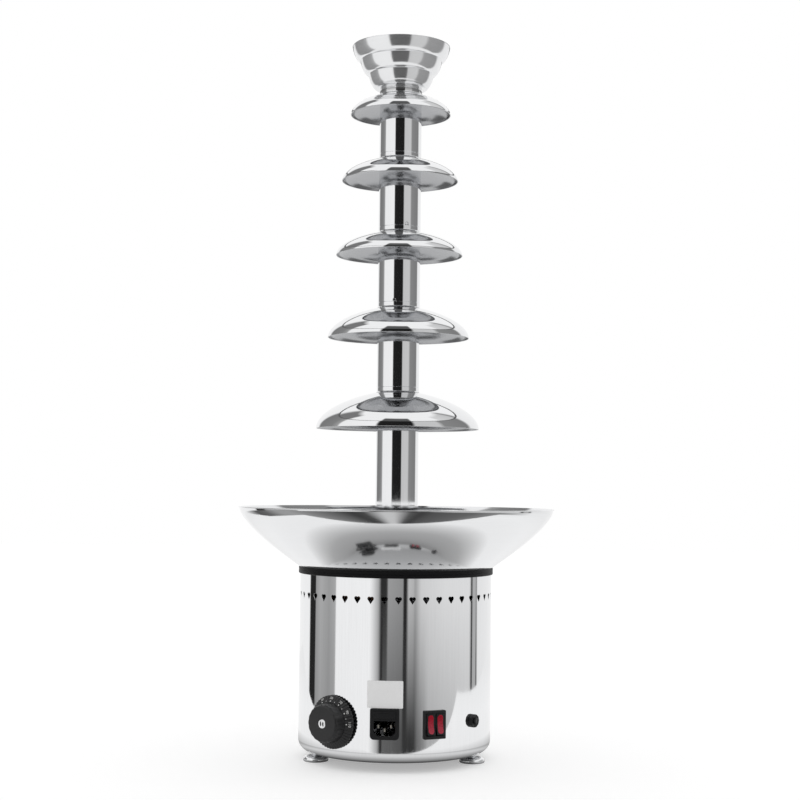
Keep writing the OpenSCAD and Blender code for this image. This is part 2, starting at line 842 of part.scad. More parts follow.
module gear_plate() {
    color(dull_steel) difference() {
        union() {
            translate([0, 0, gear_plate_z]) cylinder(r = gear_plate_r, h = gear_plate_t);
            translate([0, 0, gear_plate_z - plate_boss_l]) cylinder(r = plate_boss_r, h = plate_boss_l);
        }
        translate([0, 0, gear_plate_z - plate_boss_l - eps])
            cylinder(r = bush_r + fit, h = plate_boss_l + gear_plate_t + 2 * eps);
        translate([0, gear_centre, gear_plate_z - eps])
            cylinder(r = motor_shaft_r + hole_gap, h = gear_plate_t + 2 * eps);
        around(post_angles, post_circle_r)
            translate([0, 0, gear_plate_z - eps]) cylinder(r = screw_r + fit, h = gear_plate_t + 2 * eps);
    }
}

// Outline of the gearbox round both gears, grown by a margin
module box_outline(margin) {
    circle(r = gear_pitch_r + gear_module + margin);
    translate([0, gear_centre]) circle(r = pinion_pitch_r + gear_module + margin);
    translate([-pinion_pitch_r - gear_module - margin, 0])
        square([2 * (pinion_pitch_r + gear_module + margin), gear_centre]);
}

module gearbox_cover() {
    color(dull_steel) difference() {
        translate([0, 0, gear_plate_top]) linear_extrude(box_top + box_wall - gear_plate_top)
            box_outline(box_gap + box_wall);
        translate([0, 0, gear_plate_top - eps]) linear_extrude(box_top - gear_plate_top + eps)
            box_outline(box_gap);
        translate([0, 0, box_top - eps]) cylinder(r = drive_r + hole_gap, h = box_wall + 2 * eps);
    }
}

module plate_posts() {
    color(dull_steel) around(post_angles, post_circle_r) difference() {
        union() {
            translate([0, 0, gear_plate_top]) cylinder(r = post_r, h = post_l);
            translate([0, 0, post_top]) cylinder(r = post_stud_r, h = bowl_under - post_top);
        }
        translate([0, 0, gear_plate_top - eps]) cylinder(r = screw_r + fit, h = screw_bite + 2 * eps);
    }
}

module post_screws() {
    color(dull_steel) around(post_angles, post_circle_r)
        translate([0, 0, gear_plate_z]) screw(gear_plate_t + screw_bite);
}

module motor_case() {
    color(dull_steel) translate([0, gear_centre, motor_top]) difference() {
        union() {
            translate([0, 0, -motor_l]) cylinder(r = motor_r, h = motor_l);
            translate([0, 0, -motor_l - motor_boss_l]) cylinder(r = motor_boss_r, h = motor_boss_l);
        }
        translate([0, 0, -motor_bore_l]) cylinder(r = motor_shaft_r + running, h = motor_bore_l + eps);
    }
}

module motor_shaft() {
    foot = motor_top - motor_bore_l + slip;
    color(polished) translate([0, gear_centre, foot])
        cylinder(r = motor_shaft_r, h = gear_z + gear_w - foot);
}

module pinion() {
    color(brass) translate([0, gear_centre, gear_z]) difference() {
        rotate([0, 0, -90 + 180 / pinion_teeth])
            linear_extrude(gear_w) polygon(gear_outline(pinion_teeth));
        translate([0, 0, -eps]) cylinder(r = motor_shaft_r + fit, h = gear_w + 2 * eps);
    }
}

// The heater's two legs near its ends, as angles from the middle of its gap
function heater_legs() =
    let (a = heater_end + asin(heater_r / heater_ring_r))
    [a, -a];

module heater_ring() {
    color(dull_steel) translate([0, 0, heater_z]) {
        rotate([0, 0, heater_end]) rotate_extrude(angle = heater_span)
            translate([heater_ring_r, 0]) circle(r = heater_r);
        around(heater_legs(), heater_ring_r)
            translate([0, 0, -heater_leg_l]) cylinder(r = heater_leg_r, h = heater_leg_l);
    }
}

module heater_clamp() {
    color(dull_steel) translate([0, 0, post_top]) difference() {
        bush(clamp_r, clamp_in_r, clamp_t);
        around(post_angles, post_circle_r) translate([0, 0, -eps])
            cylinder(r = post_stud_r + fit, h = clamp_t + 2 * eps);
        around(heater_legs(), heater_ring_r) translate([0, 0, -eps])
            cylinder(r = heater_r, h = clamp_t + 2 * eps);
    }
}

// Thermostat and its knob

module thermostat_body() {
    color(pale_plastic) at_panel(knob_azimuth, panel_z) difference() {
        translate([0, 0, stat_face - stat_d]) linear_extrude(stat_d) rounded(stat_w, stat_h, stat_corner);
        translate([0, 0, stat_face - spindle_back])
            cylinder(r = spindle_r + running, h = spindle_back + eps);
    }
}

module thermostat_spindle() {
    back = stat_face - spindle_back + slip;
    color(polished) at_panel(knob_azimuth, panel_z) translate([0, 0, back])
        cylinder(r = spindle_r, h = knob_l - spindle_cover - back);
}

// Copper capillary from the thermostat to the bulb that lies along the bowl's cone
module capillary() {
    slope = atan(bowl_drop(bulb_x, bowl_in_lip_r) - bowl_drop(bulb_x + 1, bowl_in_lip_r));
    bulb_z = bowl_rim_z - bowl_drop(bulb_x, bowl_in_lip_r) - (bulb_r + slip) / cos(slope);
    body_x = drum_r + stat_face - stat_d / 2;
    body_top = panel_z + stat_h / 2;
    route = [
        [body_x, 0, body_top], [body_x, 0, body_top + line_rise],
        [bulb_x + line_lead, bulb_l / 2 + line_lead, bulb_z - line_rise],
        [bulb_x, bulb_l / 2 + line_lead, bulb_z - line_drop], [bulb_x, bulb_l / 2 - bulb_r, bulb_z]
    ];
    color(copper) rotate([0, 0, knob_azimuth - 90]) {
        for (i = [0 : len(route) - 2]) rod(route[i], route[i + 1], line_r);
        translate([bulb_x, 0, bulb_z]) rotate([90, 0, 0]) cylinder(r = bulb_r, h = bulb_l, center = true);
    }
}

module knob_skirt() {
    color(black_plastic) at_panel(knob_azimuth, panel_z) difference() {
        rotate_extrude() polygon([
            [spindle_r + fit, skirt_z], [skirt_r, skirt_z], [skirt_r, skirt_z + skirt_edge_t],
            [cap_r, skirt_z + skirt_t], [spindle_r + fit, skirt_z + skirt_t]
        ]);
        around(even_angles(grip_count, 0), skirt_r + grip_r / 2)
            translate([0, 0, skirt_z - eps]) cylinder(r = grip_r, h = skirt_t + 2 * eps);
    }
}

module knob_cap() {
    foot = skirt_z + skirt_t;
    bore_top = knob_l - spindle_cover + fit;
    side_r = cap_r - cap_taper;
    color(black_plastic) at_panel(knob_azimuth, panel_z) rotate_extrude() polygon([
        [spindle_r + fit, foot], [cap_r, foot], [side_r, knob_l - cap_edge],
        [side_r - cap_edge / 3, knob_l - cap_edge / 3], [side_r - cap_edge, knob_l],
        [disc_r + fit, knob_l], [disc_r + fit, knob_l - disc_t],
        [0, knob_l - disc_t], [0, bore_top], [spindle_r + fit, bore_top]
    ]);
}

module knob_disc() {
    color(polished) at_panel(knob_azimuth, panel_z)
        translate([0, 0, knob_l - disc_t]) cylinder(r = disc_r, h = disc_t);
}

// Mains inlet

// Outline of the socket, with its two lower corners cut
module socket_outline() {
    x = socket_w / 2;
    y = socket_h / 2;
    cut = socket_cut;
    polygon([[-x, y], [x, y], [x, cut - y], [x - cut, -y], [cut - x, -y], [-x, cut - y]]);
}

module blade_places() {
    for (p = [[-blade_x, blade_y], [blade_x, blade_y], [0, -blade_y]])
        translate([p[0], socket_y + p[1], 0]) children();
}

module inlet_body() {
    lap = outer_drop(inlet_w);
    color(black_plastic) at_panel(inlet_azimuth, inlet_z) difference() {
        union() {
            difference() {
                translate([0, 0, -lap]) linear_extrude(flange_t + lap)
                    rounded(inlet_w, inlet_h, inlet_corner);
                drum_space();
            }
            translate([0, 0, -inlet_d]) linear_extrude(inlet_d + flange_t)
                square([inlet_hole_w - slip, inlet_hole_h - slip], center = true);
        }
        translate([0, socket_y, flange_t - socket_d]) linear_extrude(socket_d + eps) socket_outline();
        translate([0, drawer_y, flange_t - drawer_d / 2 + eps])
            cube([drawer_w + 2 * slip, drawer_h + 2 * slip, drawer_d + 2 * eps], center = true);
        blade_places() translate([0, 0, flange_t - socket_d - inlet_d / 2])
            cube([blade_w + 2 * fit, blade_h + 2 * fit, inlet_d + eps], center = true);
    }
}

module inlet_pins() {
    front = flange_t - blade_back;
    back = -inlet_d - tab_l;
    color(brass) at_panel(inlet_azimuth, inlet_z) blade_places()
        translate([0, 0, (front + back) / 2]) cube([blade_w, blade_h, front - back], center = true);
}

module fuse_drawer() {
    color(black_plastic) at_panel(inlet_azimuth, inlet_z) translate([0, drawer_y, 0]) difference() {
        union() {
            translate([0, 0, flange_t + slip]) linear_extrude(drawer_proud)
                square([drawer_w + 2 * drawer_lip, drawer_h + 2 * drawer_lip], center = true);
            translate([0, 0, flange_t - drawer_d + slip])
                linear_extrude(drawer_d) square([drawer_w, drawer_h], center = true);
        }
        translate([0, 0, fuse_z]) rotate([0, 90, 0])
            cylinder(r = fuse_r + fit, h = fuse_l + 2 * fit, center = true);
        translate([0, (drawer_h - eps) / 2 + eps, fuse_z])
            cube([fuse_l + 2 * fit, drawer_h, 2 * (fuse_r + fit)], center = true);
    }
}

module fuse() {
    color(pale_plastic) at_panel(inlet_azimuth, inlet_z) translate([0, drawer_y, fuse_z])
        rotate([0, 90, 0]) cylinder(r = fuse_r, h = fuse_l, center = true);
}

// Double switch

function rocker_x(side) = side * (rocker_gap + rocker_slot_w) / 2;

module switch_frame() {
    lap = outer_drop(switch_w);
    bore_l = 2 * rocker_slot_w + rocker_gap + 2 * (rocker_pin_l + slip);
    color(black_plastic) at_panel(switch_azimuth, panel_z) difference() {
        union() {
            difference() {
                translate([0, 0, -lap]) linear_extrude(flange_t + lap)
                    rounded(switch_w, switch_h, switch_corner);
                drum_space();
            }
            translate([0, 0, -switch_d]) linear_extrude(switch_d + flange_t)
                square([switch_hole_w - slip, switch_hole_h - slip], center = true);
        }
        for (side = [-1, 1]) translate([rocker_x(side), 0, flange_t - rocker_slot_d / 2 + eps])
            cube([rocker_slot_w, rocker_slot_l, rocker_slot_d + 2 * eps], center = true);
        translate([0, 0, rocker_pivot_z]) rotate([0, 90, 0])
            cylinder(r = rocker_pin_r + running, h = bore_l, center = true);
    }
}

// A rocker resting in its off position, tilted about its pivot
module rocker(side) {
    end = flange_t + rocker_end - rocker_pivot_z;
    mid = flange_t + rocker_mid - rocker_pivot_z;
    y = rocker_l / 2;
    color(red_plastic) at_panel(switch_azimuth, panel_z) translate([rocker_x(side), 0, rocker_pivot_z])
        rotate([-rocker_tilt, 0, 0]) {
            rotate([90, 0, 90]) linear_extrude(rocker_w, center = true) polygon([
                [-y, end], [0, mid], [y, end], [y, end - rocker_root],
                [y / 3, -rocker_root], [-y / 3, -rocker_root], [-y, end - rocker_root]
            ]);
            rotate([0, 90, 0])
                cylinder(r = rocker_pin_r, h = rocker_w + 2 * (slip + rocker_pin_l), center = true);
        }
}

module rocker_heat() rocker(-1);
module rocker_motor() rocker(1);

// Overload protector

module breaker_body() {
    color(black_plastic) at_panel(breaker_azimuth, panel_z) difference() {
        union() {
            translate([0, 0, breaker_face - breaker_d / 2])
                cube([breaker_w, breaker_h, breaker_d], center = true);
            translate([0, 0, breaker_face - eps]) cylinder(r = neck_r, h = neck_l - breaker_face + eps);
        }
        translate([0, 0, -button_in - reset_travel - slip])
            cylinder(r = button_r + slip, h = button_in + reset_travel + neck_l + 2 * slip + eps);
    }
}

module breaker_nut() {
    color(black_plastic) at_panel(breaker_azimuth, panel_z) translate([0, 0, fit]) difference() {
        cylinder(r = nut_r, h = nut_t, $fn = nut_sides);
        translate([0, 0, -eps]) cylinder(r = neck_r + fit, h = nut_t + 2 * eps);
    }
}

module reset_button() {
    color(black_plastic) at_panel(breaker_azimuth, panel_z) rotate_extrude() polygon([
        [0, -button_in], [button_r, -button_in], [button_r, button_out - button_edge],
        [button_r - button_edge, button_out], [0, button_out]
    ]);
}

// Rating plate and electrical pieces

module rating_plate() {
    span = 360 * plate_w / (2 * PI * drum_r);
    color(label_silver) rotate([0, 0, inlet_azimuth - 90 - span / 2]) rotate_extrude(angle = span)
        translate([drum_r + fit, plate_z]) square([plate_t, plate_h]);
}

module terminal_block() {
    top = block_size[2] / 2;
    first_y = -block_pitch * (block_ways - 1) / 2;
    color(pale_plastic) rotate([0, 0, block_angle]) translate([shelf_r, 0, drum_floor + top]) difference() {
        cube(block_size, center = true);
        for (i = [0 : block_ways - 1])
            translate([0, first_y + i * block_pitch, top - block_hole_l])
                cylinder(r = block_hole_r, h = block_hole_l + eps);
    }
}

module capacitor() {
    color(dull_steel) rotate([0, 0, can_angle]) translate([shelf_r, 0, drum_floor]) {
        cylinder(r = can_r, h = can_l);
        for (side = [-1, 1])
            translate([-can_tab[0] / 2, side * can_r / 2 - can_tab[1] / 2, can_l]) cube(can_tab);
    }
}

crown();
tube_1();
tube_2();
tube_3();
tube_4();
tube_5();
dome_1();
dome_2();
dome_3();
dome_4();
dome_5();
auger_shaft();
auger_flight();
bowl();
bowl_gasket();
drum_shell();
bottom_cover();
cover_screws();
feet();
foot_nuts();
bearing_hub();
shaft_bushes();
shaft_seal();
drive_shaft();
drive_pin();
output_gear();
gear_plate();
gearbox_cover();
plate_posts();
post_screws();
motor_case();
motor_shaft();
pinion();
heater_ring();
heater_clamp();
thermostat_body();
thermostat_spindle();
capillary();
knob_skirt();
knob_cap();
knob_disc();
inlet_body();
inlet_pins();
fuse_drawer();
fuse();
switch_frame();
rocker_heat();
rocker_motor();
breaker_body();
breaker_nut();
reset_button();
rating_plate();
terminal_block();
capacitor();
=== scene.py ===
"""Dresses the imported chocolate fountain: spun steel tower, heated bowl, drum base and its controls."""

import logging
import math
from dataclasses import dataclass
from enum import Enum
from typing import Iterable, Sequence

import bpy
from mathutils import Matrix, Vector


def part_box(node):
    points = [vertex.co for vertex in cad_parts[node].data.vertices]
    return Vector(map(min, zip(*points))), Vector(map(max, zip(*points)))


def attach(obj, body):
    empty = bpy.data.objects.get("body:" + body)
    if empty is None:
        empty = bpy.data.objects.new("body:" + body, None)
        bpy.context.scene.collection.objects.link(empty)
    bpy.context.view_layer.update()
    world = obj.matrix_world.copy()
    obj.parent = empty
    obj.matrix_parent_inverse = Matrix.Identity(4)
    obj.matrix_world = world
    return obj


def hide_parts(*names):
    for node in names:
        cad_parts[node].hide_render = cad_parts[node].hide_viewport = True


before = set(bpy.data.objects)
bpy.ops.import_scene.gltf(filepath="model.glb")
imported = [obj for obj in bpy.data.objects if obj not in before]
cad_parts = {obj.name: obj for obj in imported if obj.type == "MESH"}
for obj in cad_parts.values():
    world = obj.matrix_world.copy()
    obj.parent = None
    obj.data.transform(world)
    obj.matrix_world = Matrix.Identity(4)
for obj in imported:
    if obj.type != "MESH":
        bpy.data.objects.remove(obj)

LOG = logging.getLogger("fountain")
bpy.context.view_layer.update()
MM = 0.001
LATHE_STEPS = 192
CORNER_STEPS = 6
SHARP = 32.0
MERGE = 1e-6
ROUND_FIT = 0.01
FIT = 0.05
PANEL_Z = 54.0
BASE = "base"

Point = tuple[float, float]
Color = tuple[float, float, float]
Piece = bpy.types.Object
Socket = bpy.types.NodeSocket


def mm_box(node: str) -> tuple[Vector, Vector]:
    """A CAD node's box in millimetres."""
    low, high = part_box(node)
    return low / MM, high / MM


def polar(radius: float, angle: float) -> Point:
    """The point at a radius and an angle in degrees."""
    turn = math.radians(angle)
    return radius * math.cos(turn), radius * math.sin(turn)


def even_angles(count: int, start: float = 0.0) -> list[float]:
    """Angles in degrees that split a full turn evenly."""
    return [start + 360 * i / count for i in range(count)]


def arc(centre: Point, radius: float, start: float, end: float, steps: int) -> list[Point]:
    """Points along a circular arc.

    Args:
        centre: middle of the arc.
        radius: its radius.
        start: first angle in degrees.
        end: last angle in degrees.
        steps: number of pieces that the arc is split into.

    Returns:
        The points from the first angle to the last.
    """
    points = []
    for i in range(steps + 1):
        x, y = polar(radius, start + (end - start) * i / steps)
        points.append((centre[0] + x, centre[1] + y))
    return points


def rounded_outline(width: float, height: float, low_r: float, top_r: float) -> list[Point]:
    """Outline of a rectangle whose lower and upper corners are rounded.

    Args:
        width: size along X.
        height: size along Y.
        low_r: radius of the two lower corners.
        top_r: radius of the two upper corners.

    Returns:
        The outline, anticlockwise.
    """
    x, y = width / 2, height / 2
    return (
        arc((x - low_r, low_r - y), low_r, -90, 0, CORNER_STEPS)
        + arc((x - top_r, y - top_r), top_r, 0, 90, CORNER_STEPS)
        + arc((top_r - x, y - top_r), top_r, 90, 180, CORNER_STEPS)
        + arc((low_r - x, low_r - y), low_r, 180, 270, CORNER_STEPS)
    )


def shift(x: float, y: float, z: float) -> Matrix:
    """A move by distances in millimetres."""
    return Matrix.Translation(Vector((x, y, z)) * MM)


def ring_places(radius: float, angles: Iterable[float], height: float = 0.0) -> list[Matrix]:
    """Places at a radius and a height in millimetres, at angles in degrees."""
    return [shift(*polar(radius, angle), height) for angle in angles]


def panel(azimuth: float, height: float) -> Matrix:
    """Frame of a control on the drum's wall, with X to the right, Y up and Z outwards.

    Args:
        azimuth: angle from the front, in degrees, positive to the right.
        height: height above the table in millimetres.

    Returns:
        The matrix that takes a control from its own frame to its place.
    """
    turn = math.radians(azimuth)
    out = Vector((math.sin(turn), -math.cos(turn), 0))
    aside = Vector((math.cos(turn), math.sin(turn), 0))
    place = out * Drum.radius * MM + Vector((0, 0, height * MM))
    columns = (aside, Vector((0, 0, 1)), out, place)
    rows = [[column[i] for column in columns] for i in range(3)]
    return Matrix((*rows, (0, 0, 0, 1)))


class Bench:
    """The modelling operators, called the way a modeller uses them by hand."""

    @staticmethod
    def clear() -> None:
        """Leaves edit mode and deselects everything."""
        active = bpy.context.view_layer.objects.active
        if active is not None and active.mode != "OBJECT":
            bpy.ops.object.mode_set(mode="OBJECT")
        bpy.ops.object.select_all(action="DESELECT")

    @staticmethod
    def pick(*pieces: Piece) -> None:
        """Selects pieces and makes the first one active."""
        Bench.clear()
        for piece in pieces:
            piece.select_set(True)
        bpy.context.view_layer.objects.active = pieces[0]

    @staticmethod
    def wire(name: str, points: Sequence[Vector], closed: bool) -> Piece:
        """Draws a chain of edges by extruding one vertex from point to point.

        Args:
            name: name of the new piece.
            points: places of the chain, in metres.
            closed: whether the last point is joined to the first.

        Returns:
            The piece, left in edit mode with everything selected.
        """
        Bench.clear()
        bpy.ops.mesh.primitive_plane_add(size=MM)
        piece = bpy.context.active_object
        piece.name = name
        bpy.ops.object.mode_set(mode="EDIT")
        bpy.ops.mesh.select_mode(type="VERT")
        bpy.ops.mesh.select_all(action="SELECT")
        bpy.ops.mesh.merge(type="CENTER")
        bpy.ops.transform.translate(value=points[0])
        for start, end in zip(points, points[1:]):
            bpy.ops.mesh.extrude_region_move(TRANSFORM_OT_translate={"value": end - start})
        if closed:
            bpy.ops.mesh.select_all(action="DESELECT")
            bpy.ops.object.mode_set(mode="OBJECT")
            chain = piece.data.vertices
            chain[0].select = chain[len(chain) - 1].select = True
            bpy.ops.object.mode_set(mode="EDIT")
            bpy.ops.mesh.edge_face_add()
        bpy.ops.mesh.select_all(action="SELECT")
        return piece

    @staticmethod
    def shade(piece: Piece, sharp: float = SHARP) -> Piece:
        """Shades a piece smooth up to an angle in degrees."""
        Bench.pick(piece)
        bpy.ops.object.shade_smooth_by_angle(angle=math.radians(sharp))
        return piece

    @staticmethod
    def close_up(piece: Piece, sharp: float = SHARP) -> Piece:
        """Merges doubles, turns the faces outwards and shades the piece smooth up to an angle."""
        bpy.ops.mesh.select_all(action="SELECT")
        bpy.ops.mesh.remove_doubles(threshold=MERGE)
        bpy.ops.mesh.normals_make_consistent(inside=False)
        bpy.ops.object.mode_set(mode="OBJECT")
        return Bench.shade(piece, sharp)

    @staticmethod
    def lathe(
        name: str, profile: Iterable[Point], steps: int = LATHE_STEPS, closed: bool = True
    ) -> Piece:
        """Turns a profile round the Z axis.

        Args:
            name: name of the new piece.
            profile: radius and height of each point, in millimetres.
            steps: number of segments round the axis.
            closed: whether the profile is a closed loop; one that ends on the axis is not.

        Returns:
            The turned piece.
        """
        points = [Vector((r * MM, 0, z * MM)) for r, z in profile]
        piece = Bench.wire(name, points, closed)
        bpy.ops.mesh.spin(steps=steps, angle=math.tau, center=(0, 0, 0), axis=(0, 0, 1))
        return Bench.close_up(piece)

    @staticmethod
    def rod(name: str, radius: float, low: float, high: float, steps: int) -> Piece:
        """A plain cylinder between two heights in millimetres, as a cutter for a bore."""
        profile = [(0, low), (radius, low), (radius, high), (0, high)]
        return Bench.lathe(name, profile, steps, closed=False)

    @staticmethod
    def prism(name: str, outline: Iterable[Point], low: float, high: float, sharp: float = SHARP) -> Piece:
        """Extrudes an outline along Z.

        Args:
            name: name of the new piece.
            outline: points in millimetres.
            low: lower end in millimetres.
            high: upper end in millimetres.
            sharp: angle in degrees above which an edge stays sharp.

        Returns:
            The extruded piece.
        """
        points = [Vector((x * MM, y * MM, low * MM)) for x, y in outline]
        piece = Bench.wire(name, points, True)
        bpy.ops.mesh.edge_face_add()
        bpy.ops.mesh.extrude_region_move(TRANSFORM_OT_translate={"value": (0, 0, (high - low) * MM)})
        return Bench.close_up(piece, sharp)

    @staticmethod
    def block(name: str, size: Sequence[float], centre: Sequence[float]) -> Piece:
        """A box of a size and centre in millimetres, as the start of a piece."""
        Bench.clear()
        bpy.ops.mesh.primitive_cube_add(size=1)
        piece = bpy.context.active_object
        piece.name = name
        return Bench.place(piece, shift(*centre) @ Matrix.Diagonal((*(Vector(size) * MM), 1)))

    @staticmethod
    def place(piece: Piece, matrix: Matrix) -> Piece:
        """Moves a piece and puts its place into its mesh."""
        Bench.pick(piece)
        piece.matrix_world = matrix
        bpy.ops.object.transform_apply(location=True, rotation=True, scale=True)
        return piece

    @staticmethod
    def copies(piece: Piece, places: Sequence[Matrix]) -> Piece:
        """Copies a piece to several places, each with its own mesh, and joins them as one."""
        made = []
        for place in places:
            Bench.pick(piece)
            bpy.ops.object.duplicate(linked=False)
            made.append(Bench.place(bpy.context.active_object, place))
        name = piece.name
        bpy.data.objects.remove(piece)
        joined = Bench.join(*made)
        joined.name = name
        return joined

    @staticmethod
    def join(*pieces: Piece) -> Piece:
        """Joins pieces into the first one."""
        Bench.pick(*pieces)
        if len(pieces) > 1:
            bpy.ops.object.join()
        return pieces[0]

    @staticmethod
    def carve(piece: Piece, operation: str, cutter: Piece) -> Piece:
        """Applies a boolean operation with a cutter, and removes the cutter."""
        Bench.pick(piece)
        tool = piece.modifiers.new("carve", "BOOLEAN")
        tool.operation = operation
        tool.solver = "EXACT"
        tool.object = cutter
        bpy.ops.object.modifier_apply(modifier=tool.name)
        bpy.data.objects.remove(cutter)
        return piece

    @staticmethod
    def cut(piece: Piece, *cutters: Piece) -> Piece:
        """Cuts pieces out of another one, and removes the cutters."""
        for cutter in cutters:
            Bench.carve(piece, "DIFFERENCE", cutter)
        return piece

    @staticmethod
    def keep(piece: Piece, cutter: Piece) -> Piece:
        """Keeps what lies inside a cutter, and removes the cutter."""
        return Bench.carve(piece, "INTERSECT", cutter)

    @staticmethod
    def true_round(piece: Piece, *radii: float) -> Piece:
        """Gives walls of some radii the exact normals of cylinders, so that cuts leave no dents."""
        mesh = piece.data
        normals = [Vector(corner.vector) for corner in mesh.corner_normals]
        for face in mesh.polygons:
            corners = [mesh.vertices[v].co for v in face.vertices]
            reach = [math.hypot(corner.x, corner.y) / MM for corner in corners]
            if not any(all(abs(r - wall) < ROUND_FIT for r in reach) for wall in radii):
                continue
            away = Vector((face.center.x, face.center.y, 0))
            side = math.copysign(1, face.normal.dot(away))
            for loop, corner in zip(face.loop_indices, corners):
                normals[loop] = Vector((corner.x, corner.y, 0)).normalized() * side
        mesh.normals_split_custom_set(normals)
        return piece

    @staticmethod
    def soften(piece: Piece, width: float, segments: int, sharp: float = SHARP) -> Piece:
        """Rounds a piece's edges by a width in millimetres."""
        Bench.pick(piece)
        edge = piece.modifiers.new("edge", "BEVEL")
        edge.width = width * MM
        edge.segments = segments
        edge.limit_method = "ANGLE"
        edge.angle_limit = math.radians(sharp)
        edge.use_clamp_overlap = True
        bpy.ops.object.modifier_apply(modifier=edge.name)
        return Bench.shade(piece, sharp)


def grey(value: float) -> tuple[float, float, float, float]:
    """A grey as a colour with full cover."""
    return value, value, value, 1.0


class Grain(Enum):
    """How the marks of making run over a surface."""

    EVEN = "even"
    SPUN = "spun"
    DRAWN = "drawn"


class Tree:
    """A node tree that is built link by link."""

    def __init__(self, tree: bpy.types.NodeTree) -> None:
        """Keeps an emptied tree."""
        self.tree = tree
        tree.nodes.clear()

    def add(self, kind: str, inputs: dict | None = None, **settings: object) -> bpy.types.Node:
        """Adds a node.

        Args:
            kind: the node's type.
            inputs: values or sockets for its inputs, by name or number.
            settings: properties of the node.

        Returns:
            The new node.
        """
        node = self.tree.nodes.new(kind)
        for key, value in settings.items():
            setattr(node, key, value)
        for key, value in (inputs or {}).items():
            if isinstance(value, Socket):
                self.tree.links.new(value, node.inputs[key])
            else:
                node.inputs[key].default_value = value
        return node

    def math(self, operation: str, *values: object) -> Socket:
        """The result of a math node."""
        return self.add("ShaderNodeMath", dict(enumerate(values)), operation=operation).outputs[0]

    def span(
        self, value: object, low: float, high: float, to_low: float = 0.0, to_high: float = 1.0
    ) -> Socket:
        """A value mapped from one range to another, held at its ends."""
        places = {0: value, 1: low, 2: high, 3: to_low, 4: to_high}
        return self.add("ShaderNodeMapRange", places).outputs[0]

    def blend(self, share: object, first: object, second: object) -> Socket:
        """A colour between two, by a share from 0 to 1."""
        return self.add("ShaderNodeMix", {0: share, 6: first, 7: second}, data_type="RGBA").outputs[2]

    def place(self, kind: str = "Object") -> Socket:
        """Coordinates of the point that is shaded."""
        return self.add("ShaderNodeTexCoord").outputs[kind]

    def split(self, vector: Socket) -> Sequence[Socket]:
        """The X, Y and Z parts of a vector."""
        return self.add("ShaderNodeSeparateXYZ", {0: vector}).outputs

    def reach(self, parts: Sequence[Socket]) -> Socket:
        """Distance from the Z axis."""
        squares = [self.math("POWER", part, 2.0) for part in (parts[0], parts[1])]
        return self.math("SQRT", self.math("ADD", *squares))

    def turn_share(self, parts: Sequence[Socket]) -> Socket:
        """Azimuth from the front, as a share of the full turn that starts at the back."""
        azimuth = self.math("ARCTAN2", parts[0], self.math("MULTIPLY", parts[1], -1.0))
        return self.span(azimuth, -math.pi, math.pi)

    def ramp(self, share: Socket, stops: Sequence[Point]) -> Socket:
        """A ramp of grey values.

        Args:
            share: place along the ramp, from 0 to 1.
            stops: place and grey value of each stop.

        Returns:
            The ramp's colour.
        """
        node = self.add("ShaderNodeValToRGB", {0: share})
        elements = node.color_ramp.elements
        while len(elements) < len(stops):
            elements.new(0.5)
        for element, (position, value) in zip(elements, stops):
            element.position = position
            element.color = grey(value)
        return node.outputs[0]

    def glow(self, color: Socket) -> None:
        """Ends the tree with a surface that shines in a colour."""
        shine = self.add("ShaderNodeEmission", {"Color": color, "Strength": 1.0})
        self.add("ShaderNodeOutputMaterial", {"Surface": shine.outputs[0]})


def paint(name: str) -> tuple[bpy.types.Material, Tree]:
    """A new material with its emptied tree."""
    material = bpy.data.materials.new(name)
    material.use_nodes = True
    return material, Tree(material.node_tree)


